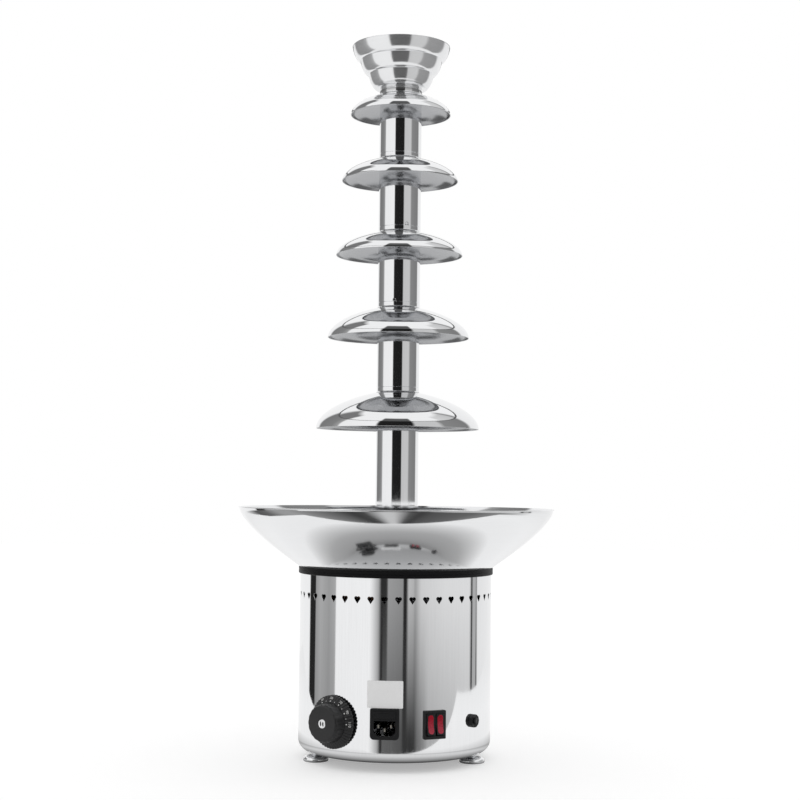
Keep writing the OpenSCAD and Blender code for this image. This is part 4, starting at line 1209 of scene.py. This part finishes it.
@dataclass(frozen=True)
class CoverScrews:
    """The pan-head screws of the bottom cover, in millimetres."""

    count: int = 4
    first: float = 45.0
    inset: float = 4.0
    head_r: float = 4.5
    head_h: float = 3.2
    dome_h: float = 1.4
    dome_steps: int = 10
    shank_r: float = 2.4
    tip: float = 0.5
    recess: tuple[float, float, float] = (5.0, 0.9, 3.0)
    steps: int = 48

    def build(self) -> None:
        """Turns one screw with a cross recess and copies it under the drum."""
        low, high = mm_box("cover_screws")
        top, shank, end = low.z + self.head_h, self.shank_r, high.z
        quarter = arc((0, 0), 1, 90, 0, self.dome_steps)
        profile = [(self.head_r * x, low.z + self.dome_h * (1 - z)) for x, z in quarter]
        profile += [(self.head_r, top), (shank, top)]
        profile += [(shank, end - self.tip), (shank - self.tip, end), (0, end)]
        screw = Bench.lathe("cover_screw_set", profile, self.steps, closed=False)
        length, width, depth = self.recess
        for size in ((length, width, depth), (width, length, depth)):
            Bench.cut(screw, Bench.block("recess", size, (0, 0, low.z)))
        places = ring_places(Drum.opening_r + self.inset, even_angles(self.count, self.first))
        dress(Bench.copies(screw, places), Shop.MILL_STEEL, BASE, "cover_screws")


@dataclass(frozen=True)
class Knob:
    """The thermostat knob, in millimetres in its own frame."""

    azimuth: float = -37.0
    height: float = PANEL_Z
    sharp: float = 25.0
    bore: float = 3.05
    skirt_r: float = 29.6
    skirt_z: float = 1.5
    skirt_edge: float = 1.8
    skirt_t: float = 6.5
    skirt_round: float = 0.35
    upward: float = 0.9
    grips: int = 48
    grip_depth: float = 0.85
    grip_shape: tuple[Point, ...] = (
        (0.0, 1.0), (0.12, 0.7), (0.25, 0.0), (0.5, 0.0), (0.75, 0.0), (0.88, 0.7),
    )
    cap_r: float = 21.8
    cap_taper: float = 0.8
    cap_bands: int = 10
    cap_ledge: float = 0.6
    cap_segments: int = 240
    reach: float = 21.0
    cap_edge: float = 3.2
    edge_steps: int = 10
    dish_w: float = 3.0
    dish_d: float = 0.25
    lip_w: float = 0.6
    flutes: int = 18
    flute_depth: float = 0.5
    flute_rise: float = 3.0
    disc_r: float = 5.0
    disc_t: float = 1.0
    disc_edge: float = 0.3
    disc_ring: tuple[Point, ...] = ((0.9, 0.0), (1.1, 0.25), (1.5, 0.25), (1.7, 0.0))
    disc_segments: int = 64
    oval_x: float = 1.6
    oval_w: float = 0.95
    oval_h: float = 2.7
    oval_d: float = 0.4
    oval_steps: int = 20
    ink_r: float = 4.0
    ink_fit: float = 0.02
    marks: tuple[str, ...] = ("30", "50", "70", "90", "110")
    mark_start: float = 118.0
    mark_step: float = 29.5
    mark_circle: float = 26.7
    mark_size: float = 4.2
    mark_curve: int = 3
    print_t: float = 0.1
    dot_circle: float = 23.7
    dot_r: float = 0.75
    small_dot_r: float = 0.5
    dot_edge: Point = (0.05, 0.03)
    dot_steps: int = 16

    @property
    def face_r(self) -> float:
        """Outer radius of the skirt's sloping face."""
        return self.skirt_r - self.skirt_round

    @property
    def slope_r(self) -> float:
        """Inner radius of the skirt's sloping face."""
        return self.cap_r + self.cap_ledge

    @property
    def slope_h(self) -> float:
        """Height of the skirt's sloping face."""
        return self.skirt_t - self.skirt_edge - self.skirt_round

    @property
    def slope(self) -> float:
        """Slope of the skirt's face in radians."""
        return math.atan2(self.slope_h, self.face_r - self.slope_r)

    def build(self) -> None:
        """Models the skirt, the cap, the disc and the printed marks."""
        place = panel(self.azimuth, self.height)
        dress(Bench.place(self.skirt(), place), Shop.KNOB_BLACK, "knob", "knob_skirt")
        dress(Bench.place(self.cap(), place), Shop.KNOB_BLACK, "knob", "knob_cap")
        disc = dress(Bench.place(self.disc(), place), Shop.CHROME, "knob", "knob_disc")
        self.ink(disc, place)
        dress(Bench.place(self.skirt_print(), place), Shop.WHITE_PRINT, "knob")

    def skirt(self) -> Piece:
        """The skirt with a serrated edge and a sloping face."""
        outline = []
        for i in range(self.grips):
            for share, depth in self.grip_shape:
                outline.append(polar(self.skirt_r - depth * self.grip_depth, 360 * (i + share) / self.grips))
        low, edge = self.skirt_z, self.skirt_z + self.skirt_edge
        piece = Bench.prism("serrated_skirt", outline, low, edge, self.sharp)
        bpy.ops.object.mode_set(mode="EDIT")
        bpy.ops.mesh.select_all(action="DESELECT")
        bpy.ops.object.mode_set(mode="OBJECT")
        for face in piece.data.polygons:
            face.select = face.normal.z > self.upward
        bpy.ops.object.mode_set(mode="EDIT")
        bpy.ops.mesh.select_mode(type="FACE")
        rounding = (self.face_r / self.skirt_r, self.skirt_round)
        for share, rise in (rounding, (self.slope_r / self.face_r, self.slope_h)):
            bpy.ops.mesh.extrude_region_move(TRANSFORM_OT_translate={"value": (0, 0, rise * MM)})
            bpy.ops.transform.resize(value=(share, share, 1))
        return Bench.close_up(piece, self.sharp)

    def cap(self) -> Piece:
        """The cap with a shallow dish round its disc."""
        foot, top, side = self.skirt_z + self.skirt_t, self.reach, self.cap_r - self.cap_taper
        seat, floor = self.disc_r + FIT, top - self.disc_t
        profile = [(self.bore, foot), (self.cap_r, foot)]
        rise = top - self.cap_edge - foot
        for i in range(1, self.cap_bands):
            share = i / self.cap_bands
            profile.append((self.cap_r - self.cap_taper * share, foot + rise * share))
        profile += arc((side - self.cap_edge, top - self.cap_edge), self.cap_edge, 0, 90, self.edge_steps)
        profile += [(self.disc_r + self.dish_w, top - self.dish_d), (self.disc_r + self.lip_w, top)]
        profile += [(seat, top - self.disc_edge), (seat, floor), (self.bore, floor - self.disc_edge)]
        return self.flute(Bench.lathe("fluted_cap", profile, self.cap_segments), foot, side)

    def flute(self, piece: Piece, foot: float, side: float) -> Piece:
        """Presses shallow flutes into the cap's side, from its foot to its rounded edge."""
        for vertex in piece.data.vertices:
            x, y, z = vertex.co / MM
            r = math.hypot(x, y)
            if r < side - self.cap_edge or z < foot + FIT:
                continue
            wave = 0.5 - 0.5 * math.cos(self.flutes * math.atan2(y, x))
            rise = min(1.0, (z - foot) / self.flute_rise)
            fade = min(1.0, (r - side + self.cap_edge) / self.cap_edge)
            share = 1 - self.flute_depth * wave ** 2 * rise * fade / r
            vertex.co.x *= share
            vertex.co.y *= share
        return piece

    def disc(self) -> Piece:
        """The bright centre disc with a turned ring and two oval recesses."""
        top, r, edge = self.reach, self.disc_r, self.disc_edge
        profile = [(0, top - self.disc_t), (r, top - self.disc_t), (r, top - edge), (r - edge, top)]
        profile += [(r - inset, top - depth) for inset, depth in self.disc_ring] + [(0, top)]
        piece = Bench.lathe("centre_disc", profile, self.disc_segments, closed=False)
        circle = [polar(1, angle) for angle in even_angles(self.oval_steps)]
        for middle in (-self.oval_x, self.oval_x):
            oval = [(middle + self.oval_w * x, self.oval_h * y) for x, y in circle]
            Bench.cut(piece, Bench.prism("oval", oval, top - self.oval_d, top + 1))
        return piece

    def ink(self, piece: Piece, place: Matrix) -> None:
        """Blackens the floors of the disc's two ovals."""
        piece.data.materials.append(Shop.KNOB_BLACK.value.material())
        back = place.inverted()
        floor = self.reach - self.oval_d
        for face in piece.data.polygons:
            centre = back @ face.center / MM
            if abs(centre.z - floor) < self.ink_fit and math.hypot(centre.x, centre.y) < self.ink_r:
                face.material_index = 1

    def skirt_print(self) -> Piece:
        """White numbers on the skirt's sloping face, with dots at them and halfway between them."""
        pieces = []
        for i, word in enumerate(self.marks):
            angle = self.mark_start - i * self.mark_step
            pieces.append(Bench.place(self.number(word), self.on_skirt(angle, self.mark_circle)))
            pieces.append(self.dot(self.dot_r, angle))
            if word != self.marks[-1]:
                pieces.append(self.dot(self.small_dot_r, angle - self.mark_step / 2))
        joined = Bench.join(*pieces)
        joined.name = "skirt_print"
        return joined

    def number(self, word: str) -> Piece:
        """A number as thin raised print."""
        Bench.clear()
        bpy.ops.object.text_add()
        text = bpy.context.active_object
        text.data.body = word
        text.data.size = self.mark_size * MM
        text.data.extrude = self.print_t * MM
        text.data.align_x = text.data.align_y = "CENTER"
        text.data.resolution_u = self.mark_curve
        bpy.ops.object.convert(target="MESH")
        return bpy.context.active_object

    def dot(self, r: float, angle: float) -> Piece:
        """A dot of a radius as thin raised print, at an angle on the skirt."""
        top, (inset, drop) = self.print_t, self.dot_edge
        profile = [(0, -top), (r, -top), (r, top - drop), (r - inset, top), (0, top)]
        dot = Bench.lathe("dot", profile, self.dot_steps, closed=False)
        return Bench.place(dot, self.on_skirt(angle, self.dot_circle))

    def on_skirt(self, angle: float, circle: float) -> Matrix:
        """Place on the skirt's sloping face, with Y pointing outwards."""
        rise = (self.face_r - circle) * math.tan(self.slope)
        turn = Matrix.Rotation(math.radians(angle - 90), 4, "Z")
        top = self.skirt_z + self.skirt_edge + self.skirt_round + rise
        return turn @ shift(0, circle, top) @ Matrix.Rotation(-self.slope, 4, "X")


@dataclass(frozen=True)
class Fitting:
    """A moulded fitting with a flange on the drum's wall and a narrower back, in millimetres."""

    azimuth: float
    height: float
    width: float
    tall: float
    low_corner: float
    top_corner: float
    edge: float
    rear: float
    back: Point
    back_d: float
    overcut: float
    edge_steps: int = 3
    flange_t: float = 2.4

    def moulding(self, name: str) -> Piece:
        """The flange with rounded corners and edges, joined with its back."""
        low, top, deep = -self.rear, self.flange_t, self.back_d
        outline = rounded_outline(self.width, self.tall, self.low_corner, self.top_corner)
        flange = Bench.soften(Bench.prism(name, outline, low, top), self.edge, self.edge_steps)
        back = Bench.block("back", (*self.back, deep + low), (0, 0, (low - deep) / 2))
        return Bench.join(flange, back)

    def pocket(self, size: Sequence[float], x: float, y: float) -> Piece:
        """Cutter for a pocket of a width, height and depth that is open at the flange's face."""
        width, tall, deep = size
        middle = self.flange_t - deep / 2 + self.overcut
        return Bench.block("pocket", (width, tall, deep + 2 * self.overcut), (x, y, middle))


@dataclass(frozen=True)
class Inlet(Fitting):
    """The mains inlet with its pins and fuse drawer, in millimetres in its own frame."""

    azimuth: float = -5.4
    height: float = 55.2
    width: float = 32.5
    tall: float = 34.0
    low_corner: float = 4.5
    top_corner: float = 1.6
    edge: float = 0.6
    rear: float = 1.15
    back: Point = (28.8, 30.3)
    back_d: float = 30.0
    overcut: float = 4.0
    socket_w: float = 24.0
    socket_h: float = 16.4
    socket_y: float = -4.6
    socket_d: float = 15.0
    socket_cut: float = 4.0
    blade_w: float = 2.0
    blade_h: float = 4.0
    blade_x: float = 7.0
    blade_y: float = 2.0
    blade_sunk: float = 3.0
    blade_back: float = -36.0
    blade_edge: float = 0.55
    blade_steps: int = 2
    drawer_w: float = 23.0
    drawer_h: float = 6.0
    drawer_y: float = 10.0
    drawer_d: float = 17.0
    gap: float = 0.3
    front_rim: float = 1.2
    front_t: float = 1.2
    front_corner: float = 0.8
    front_edge: float = 0.35
    groove: tuple[float, float, float] = (9.0, 1.2, 1.2)
    tray_short: float = 0.2
    well: Point = (20.1, 5.1)
    well_y: float = 0.6
    well_z: float = -5.0

    def build(self) -> None:
        """Models the body, the pins and the drawer."""
        place = panel(self.azimuth, self.height)
        dress(Bench.place(self.housing(), place), Shop.BLACK_MOULDING, BASE, "inlet_body")
        dress(Bench.place(self.pins(), place), Shop.NICKEL, BASE, "inlet_pins")
        dress(Bench.place(self.drawer(), place), Shop.BLACK_MOULDING, "fuse_drawer", "fuse_drawer")

    def housing(self) -> Piece:
        """The flanged body with its socket and the drawer's pocket."""
        body, top = self.moulding("moulded_inlet"), self.flange_t
        size = (self.drawer_w + 2 * self.gap, self.drawer_h + 2 * self.gap, self.drawer_d)
        pocket = self.pocket(size, 0, self.drawer_y)
        socket = Bench.prism("socket", self.socket_outline(), top - self.socket_d, top + self.overcut)
        return Bench.shade(Bench.cut(body, pocket, socket))

    def socket_outline(self) -> list[Point]:
        """Outline of the socket with its two lower corners cut."""
        x, y, cut = self.socket_w / 2, self.socket_h / 2, self.socket_cut
        outline = [(cut - x, -y), (x - cut, -y), (x, cut - y), (x, y), (-x, y), (-x, cut - y)]
        return [(px, py + self.socket_y) for px, py in outline]

    def pins(self) -> Piece:
        """Three flat pins with tapered tips."""
        front, back = self.flange_t - self.blade_sunk, self.blade_back
        size = (self.blade_w, self.blade_h, front - back)
        made = []
        for x, y in ((-self.blade_x, self.blade_y), (self.blade_x, self.blade_y), (0.0, -self.blade_y)):
            pin = Bench.block("pin", size, (x, self.socket_y + y, (front + back) / 2))
            made.append(Bench.soften(pin, self.blade_edge, self.blade_steps))
        joined = Bench.join(*made)
        joined.name = "flat_pins"
        return joined

    def drawer(self) -> Piece:
        """The drawer's front with a finger groove, and the tray behind it."""
        rear = self.flange_t + self.gap
        face, rim, corner = rear + self.front_t, self.front_rim, self.front_corner
        outline = rounded_outline(self.drawer_w + rim, self.drawer_h + rim, corner, corner)
        front = Bench.prism("drawer_front", outline, rear, face)
        Bench.soften(front, self.front_edge, self.edge_steps)
        groove_y = (self.drawer_h - self.groove[1]) / 2
        Bench.cut(front, Bench.block("groove", self.groove, (0, groove_y, face)))
        deep = self.drawer_d - self.tray_short
        tray = Bench.block("tray", (self.drawer_w, self.drawer_h, deep), (0, 0, rear - deep / 2))
        size = (self.well[0], self.drawer_h, self.well[1])
        Bench.cut(tray, Bench.block("well", size, (0, self.well_y, self.well_z)))
        joined = Bench.join(front, tray)
        joined.name = "moulded_fuse_drawer"
        return Bench.place(joined, shift(0, self.drawer_y, 0))


@dataclass(frozen=True)
class Switch(Fitting):
    """The double rocker switch, in millimetres in its own frame."""

    azimuth: float = 23.3
    height: float = PANEL_Z
    width: float = 26.5
    tall: float = 31.4
    low_corner: float = 1.2
    top_corner: float = 1.2
    edge: float = 0.5
    rear: float = 0.75
    back: Point = (23.8, 27.7)
    back_d: float = 22.0
    overcut: float = 2.0
    slot_w: float = 9.8
    slot_l: float = 24.4
    slot_d: float = 13.0
    slot_gap: float = 1.6
    rocker_w: float = 9.2
    rocker_l: float = 23.0
    rocker_corner: float = 1.0
    tilt: float = 7.0
    pivot_z: float = -1.5
    end: float = 3.4
    middle: float = 1.4
    root: float = 5.0
    hollow: float = 1.5
    half_steps: int = 12
    lens_w: float = 6.6
    lens_l: float = 20.6
    lens_flat: float = 0.2
    lens_proud: float = 0.5
    lens_edge: float = 0.6

    def build(self) -> None:
        """Models the frame and both rockers."""
        place = panel(self.azimuth, self.height)
        dress(Bench.place(self.frame_piece(), place), Shop.BLACK_MOULDING, BASE, "switch_frame")
        for side, body in ((-1, "rocker_heat"), (1, "rocker_motor")):
            size = (self.rocker_w, self.rocker_l)
            shell = self.rocker(f"shell_{body}", side, size, self.lens_proud, self.rocker_corner, self.edge)
            dress(Bench.place(shell, place), Shop.BLACK_MOULDING, body, body)
            size = (self.lens_w, self.lens_l)
            corner = self.lens_w / 2 - self.lens_flat
            lens = self.rocker(f"lens_{body}", side, size, 0.0, corner, self.lens_edge)
            dress(Bench.place(lens, place), Shop.RED_LENS, body)

    def offset(self, side: int) -> float:
        """Distance of a rocker from the middle of the switch."""
        return side * (self.slot_gap + self.slot_w) / 2

    def frame_piece(self) -> Piece:
        """The black frame with its two slots."""
        body = self.moulding("moulded_switch_frame")
        size = (self.slot_w, self.slot_l, self.slot_d)
        slots = [self.pocket(size, self.offset(side), 0) for side in (-1, 1)]
        return Bench.shade(Bench.cut(body, *slots))

    def rocker(self, name: str, side: int, size: Point, sunk: float, round_r: float, edge: float) -> Piece:
        """One hollow-faced rocker or its lens, resting tilted about its pivot.

        Args:
            name: name of the piece.
            side: -1 for the left rocker, 1 for the right one.
            size: sizes along and across the pivot.
            sunk: depth of the face below the rocker's full size.
            round_r: radius of the corners seen from the front.
            edge: rounding of the edges.

        Returns:
            The piece in the switch's frame.
        """
        width, length = size
        full, base = self.rocker_l / 2, self.flange_t - self.pivot_z
        end, mid, y = self.end + base, self.middle + base, length / 2
        face = []
        for i in range(2 * self.half_steps + 1):
            at = y * (1 - i / self.half_steps)
            face.append((at, mid + (end - mid) * abs(at / full) ** self.hollow - sunk))
        foot = end - self.root
        outline = face + [(-y, foot), (-y / 3, -self.root), (y / 3, -self.root), (y, foot)]
        piece = Bench.prism(name, outline, -width / 2, width / 2)
        upright = Matrix(((0, 0, 1, 0), (1, 0, 0, 0), (0, 1, 0, 0), (0, 0, 0, 1)))
        Bench.place(piece, upright)
        plan = rounded_outline(width, length, round_r, round_r)
        Bench.keep(piece, Bench.prism("plan", plan, -self.root - 1, end + 1))
        Bench.soften(piece, edge, self.edge_steps)
        lean = Matrix.Rotation(math.radians(-self.tilt), 4, "X")
        return Bench.place(piece, shift(self.offset(side), 0, self.pivot_z) @ lean)


@dataclass(frozen=True)
class Protector:
    """The overload protector's ring nut and reset button, in millimetres in its own frame."""

    azimuth: float = 51.5
    height: float = PANEL_Z
    nut_r: float = 7.5
    nut_t: float = 4.6
    nut_edge: float = 0.5
    nut_steps: int = 2
    sides: int = 10
    sharp: float = 20.0
    neck_r: float = 5.85
    overcut: float = 2.0
    button_r: float = 3.6
    button_in: float = 8.0
    button_out: float = 7.2
    button_edge: float = 0.8
    button_steps: int = 6
    dish_w: float = 1.6
    dish_rim: float = 0.25
    dish_d: float = 0.4
    segments: int = 48

    def build(self) -> None:
        """Models the nut and the button."""
        place = panel(self.azimuth, self.height)
        dress(Bench.place(self.nut(), place), Shop.BLACK_MOULDING, BASE, "breaker_nut")
        dress(Bench.place(self.button(), place), Shop.KNOB_BLACK, "reset_button", "reset_button")

    def nut(self) -> Piece:
        """The ring nut with flat sides."""
        outline = [polar(self.nut_r, angle) for angle in even_angles(self.sides)]
        nut = Bench.prism("ring_nut", outline, FIT, self.nut_t + FIT, self.sharp)
        Bench.soften(nut, self.nut_edge, self.nut_steps, self.sharp)
        over = self.overcut
        return Bench.cut(nut, Bench.rod("bore", self.neck_r, -over, self.nut_t + over, self.segments))

    def button(self) -> Piece:
        """The button with a slightly hollow face."""
        r, out, edge = self.button_r, self.button_out, self.button_edge
        profile = [(0, -self.button_in), (r, -self.button_in), (r, out - edge)]
        profile += arc((r - edge, out - edge), edge, 0, 90, self.button_steps)
        profile += [(r - self.dish_w, out - self.dish_rim), (0, out - self.dish_d)]
        return Bench.lathe("press_button", profile, self.segments, closed=False)


@dataclass(frozen=True)
class Studio:
    """The floor, the surroundings and the camera, in metres and degrees."""

    focal_px: float = 1571.96
    image_px: float = 800.0
    sensor: float = 36.0
    distance: float = 1.85469
    height: float = 0.31879
    pitch: float = 3.063
    roll: float = 0.61
    aside_px: float = 2.3
    white: float = 1.0
    fill: float = 0.85
    floor_size: float = 12.0
    floor_grey: float = 0.8
    floor_glow: float = 0.36
    tent_r: float = 0.7
    tent_steps: int = 96
    wall_z: float = 1.0
    border_h: float = 0.045
    border_soft: float = 0.004
    border_grey: float = 0.12
    shelf_r: float = 0.2
    shelf_z: float = 0.292
    shelf_fade: Point = (0.5, 0.6)
    shelf_grey: float = 0.95
    table_z: float = -0.0004
    table_edge: tuple[Point, ...] = (
        (0.0, -0.248), (0.24, -0.238), (0.74, -0.219), (0.765, 0.24), (0.9, 1.1), (-0.9, 1.1), (-0.64, 0.32),
        (-0.553, 0.144), (-0.47, -0.205), (-0.184, -0.226),
    )
    # Ray lengths over which the table turns from the painted shadow round the drum to the painted shade
    # under the bowl
    table_blend: Point = (0.05, 0.1)
    # Painted shadow on the table round the drum: grey by distance from the axis, for short reflected rays
    table_painted_shadow: tuple[Point, ...] = (
        (0.0, 0.06), (0.098, 0.08), (0.112, 0.36), (0.13, 0.66), (0.17, 0.8), (0.24, 0.93), (0.5, 0.96),
        (1.0, 0.9),
    )
    # Painted shade under the bowl: a darker table by distance from the axis, for long reflected rays
    under_bowl_painted_shade: tuple[Point, ...] = (
        (0.0, 0.06), (0.098, 0.08), (0.112, 0.24), (0.13, 0.34), (0.17, 0.42), (0.21, 0.62), (0.27, 0.93),
        (0.5, 0.96), (1.0, 0.9),
    )

    def build(self) -> None:
        """Makes the camera, the surroundings, the floor with its table, and the tent."""
        self.camera()
        self.surroundings()
        self.ground()
        self.tent()
        bpy.context.scene.view_settings.view_transform = "Standard"

    def camera(self) -> None:
        """Sets the camera at the photograph's angle."""
        Bench.clear()
        bpy.ops.object.camera_add()
        camera = bpy.context.active_object
        camera.data.sensor_width = self.sensor
        camera.data.lens = self.sensor * self.focal_px / self.image_px
        turn = Matrix.Rotation(-math.atan2(self.aside_px, self.focal_px), 4, "Z")
        lift = Matrix.Rotation(math.radians(90 + self.pitch), 4, "X")
        roll = Matrix.Rotation(math.radians(self.roll), 4, "Z")
        camera.matrix_world = Matrix.Translation((0, -self.distance, self.height)) @ turn @ lift @ roll
        bpy.context.scene.camera = camera

    def surroundings(self) -> None:
        """White surroundings with the dark strips that the polished steel shows."""
        world = bpy.data.worlds.new("surroundings")
        bpy.context.scene.world = world
        world.use_nodes = True
        tree = Tree(world.node_tree)
        parts = tree.split(tree.place("Generated"))
        share = tree.turn_share(parts)
        rise = tree.math("MULTIPLY", tree.math("ARCSINE", parts[2]), math.degrees(1))
        lowest, *higher = (ring.value for ring in Ring)
        seen = tree.ramp(share, lowest.shares())
        for strip in higher:
            seen = tree.blend(tree.span(rise, strip.low, strip.high), seen, tree.ramp(share, strip.shares()))
        path = tree.add("ShaderNodeLightPath").outputs
        light = tree.blend(path["Is Glossy Ray"], grey(self.fill), seen)
        plain = tree.math("MAXIMUM", path["Is Camera Ray"], path["Is Transmission Ray"])
        shown = tree.blend(plain, light, grey(self.white))
        back = tree.add("ShaderNodeBackground", {"Color": shown, "Strength": 1.0})
        tree.add("ShaderNodeOutputWorld", {"Surface": back.outputs[0]})

    def ground(self) -> None:
        """The floor that the camera sees and the table that the steel reflects."""
        floor = self.floor()
        table = self.table()

    def floor(self) -> Piece:
        """A pale floor that shines a little towards the camera."""
        Bench.clear()
        bpy.ops.mesh.primitive_plane_add(size=self.floor_size)
        floor = bpy.context.active_object
        floor.name = "floor"
        floor.visible_glossy = False
        material, tree = paint("pale_floor")
        pale = tree.add("ShaderNodeBsdfDiffuse", {"Color": grey(self.floor_grey)}).outputs[0]
        glow = tree.add("ShaderNodeEmission", {"Color": grey(1.0), "Strength": self.floor_glow}).outputs[0]
        both = tree.add("ShaderNodeAddShader", {0: pale, 1: glow}).outputs[0]
        seen = tree.add("ShaderNodeLightPath").outputs["Is Camera Ray"]
        mixed = tree.add("ShaderNodeMixShader", {0: seen, 1: pale, 2: both}).outputs[0]
        tree.add("ShaderNodeOutputMaterial", {"Surface": mixed})
        floor.data.materials.append(material)
        return floor

    def table(self) -> Piece:
        """The white table that the steel reflects, with painted shadow round the drum and darker painted
        shade for what lies far above it.
        """
        corners = [Vector((x, y, self.table_z)) for x, y in self.table_edge]
        table = Bench.wire("table", corners, True)
        bpy.ops.mesh.edge_face_add()
        bpy.ops.object.mode_set(mode="OBJECT")
        table.visible_camera = table.visible_diffuse = table.visible_shadow = False
        material, tree = paint("white_table")
        reach = tree.reach(tree.split(tree.place()))
        # painted shadow round the drum and painted shade under the bowl, picked by the reflected ray's
        # length
        near, far = (tree.ramp(reach, shade) for shade in (self.table_painted_shadow, self.under_bowl_painted_shade))
        length = tree.add("ShaderNodeLightPath").outputs["Ray Length"]
        tree.glow(tree.blend(tree.span(length, *self.table_blend), near, far))
        table.data.materials.append(material)
        return table

    def tent(self) -> None:
        """The wall and the shelf that only the steel above the bowl reflects."""
        r, low, high, inner = (size / MM for size in (self.tent_r, self.shelf_z, self.wall_z, self.shelf_r))
        wall = Bench.lathe("tent_wall", [(r, low), (r, high)], self.tent_steps, closed=False)
        shelf = Bench.lathe("tent_shelf", [(inner, low), (r, low)], self.tent_steps, closed=False)
        border = self.wall_z - self.border_h
        for piece in (wall, shelf):
            piece.visible_camera = piece.visible_diffuse = piece.visible_shadow = False
            piece.visible_transmission = False
            material, tree = paint(piece.name)
            parts = tree.split(tree.place())
            strip = tree.ramp(tree.turn_share(parts), Ring.WALL.value.shares())
            if piece is wall:
                share = tree.span(parts[2], border, border + self.border_soft)
                tree.glow(tree.blend(share, strip, grey(self.border_grey)))
            else:
                share = tree.span(tree.reach(parts), *self.shelf_fade)
                tree.glow(tree.blend(share, grey(self.shelf_grey), strip))
            piece.data.materials.append(material)


@dataclass(frozen=True)
class Strip:
    """A ring of the surroundings between two elevations in degrees."""

    low: float
    high: float
    stops: tuple[Point, ...]

    def shares(self) -> list[Point]:
        """The stops, with each azimuth as a share of the full turn that starts at the back."""
        return [((angle + 180) / 360, value) for angle, value in self.stops]


class Ring(Enum):
    """The surroundings from the floor to the ceiling, by azimuth and grey value."""

    FLOOR = Strip(-90, -90, (
        (-180, 0.92), (-150, 0.9), (-128, 0.1), (-115, 0.14), (-100, 0.34), (-88, 0.36), (-66, 0.22),
        (-46, 0.12), (-34, 0.05), (-24, 0.07), (-10, 0.6), (-2, 0.6), (10, 0.1), (18, 0.05), (28, 0.09),
        (58, 0.14), (82, 0.27), (104, 0.64), (118, 0.92), (180, 0.92),
    ))
    DRUM_LOW = Strip(-12, -10, (
        (-180, 0.95), (-124, 0.95), (-123, 0.02), (-110.5, 0.02), (-110, 0.28), (-100, 0.36), (-86, 0.3),
        (-76, 0.36), (-75, 0.92), (-30, 0.95), (-20, 0.4), (-17, 0.03), (-15, 0.03), (-14, 0.13), (8, 0.09),
        (10, 0.04), (23, 0.035), (26, 0.14), (34, 0.26), (40, 0.44), (72, 0.52), (99, 0.6), (101, 0.45),
        (102, 0.03), (104, 0.03), (104.6, 0.42), (111.5, 0.42), (112, 0.03), (114.5, 0.03), (115.5, 0.85),
        (180, 0.95),
    ))
    DRUM_TOP = Strip(-9, -4, (
        (-180, 0.95), (-124, 0.95), (-123, 0.02), (-110.5, 0.02), (-110, 0.34), (-100, 0.44), (-86, 0.36),
        (-76, 0.42), (-75, 0.95), (-30, 0.96), (-20, 0.42), (-17, 0.03), (-10, 0.03), (-9, 0.36), (8.6, 0.3),
        (9.6, 0.02), (13.6, 0.02), (14.6, 0.55), (21, 0.5), (23, 0.36), (30, 0.68), (60, 0.78), (99, 0.8),
        (101, 0.55), (102, 0.03), (104, 0.03), (104.6, 0.46), (111.5, 0.46), (112, 0.03), (115, 0.85),
        (180, 0.95),
    ))
    WALL = Strip(-2.5, -0.5, (
        (-180, 0.97), (-140, 0.95), (-133, 0.2), (-100, 0.24), (-88, 0.36), (-84, 0.94), (-29, 0.97),
        (-26, 0.015), (20, 0.012), (24, 0.6), (58, 0.62), (66, 0.26), (112, 0.22), (120, 0.92), (180, 0.97),
    ))
    UPPER = Strip(13, 17, (
        (-180, 0.98), (-142, 0.98), (-132, 0.2), (-95, 0.2), (-88, 0.97), (-29, 0.97), (-26, 0.1), (21, 0.1),
        (24, 0.97), (74, 0.97), (80, 0.72), (120, 0.6), (126, 0.2), (134, 0.98), (180, 0.98),
    ))
    CEILING = Strip(58, 64, ((-180, 0.97), (180, 0.97)))


INNER_FINISHES: dict[Shop, tuple[str, ...]] = {
    Shop.MILL_STEEL: (
        "bottom_cover", "foot_nuts", "bearing_hub", "drive_pin", "gear_plate", "gearbox_cover",
        "plate_posts", "post_screws", "motor_case", "heater_ring", "heater_clamp", "thermostat_spindle",
        "capacitor",
    ),
    Shop.TUBE_STEEL: ("drive_shaft", "motor_shaft"),
    Shop.RUBBER: ("shaft_seal",),
    Shop.BRASS: ("shaft_bushes", "output_gear", "pinion"),
    Shop.COPPER: ("capillary",),
    Shop.PALE_MOULDING: ("thermostat_body", "terminal_block"),
    Shop.BLACK_MOULDING: ("breaker_body",),
    Shop.FUSE_GLASS: ("fuse",),
}


def dress_inner_nodes() -> None:
    """Gives the CAD nodes that stay as they are their finishes."""
    for finish, nodes in INNER_FINISHES.items():
        for node in nodes:
            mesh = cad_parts[node].data
            mesh.materials.clear()
            mesh.materials.append(finish.value.material())
            LOG.info("%s keeps its solid", node)


def main() -> None:
    """Builds the studio and every sub-assembly."""
    logging.basicConfig(level=logging.INFO, format="%(name)s: %(message)s")
    Studio().build()
    for assembly in (Crown(), *TOWER, Auger(), Bowl(), Drum(), Knob(), Inlet(), Switch(), Protector()):
        assembly.build()
    dress_inner_nodes()


if __name__ == "__main__":
    main()
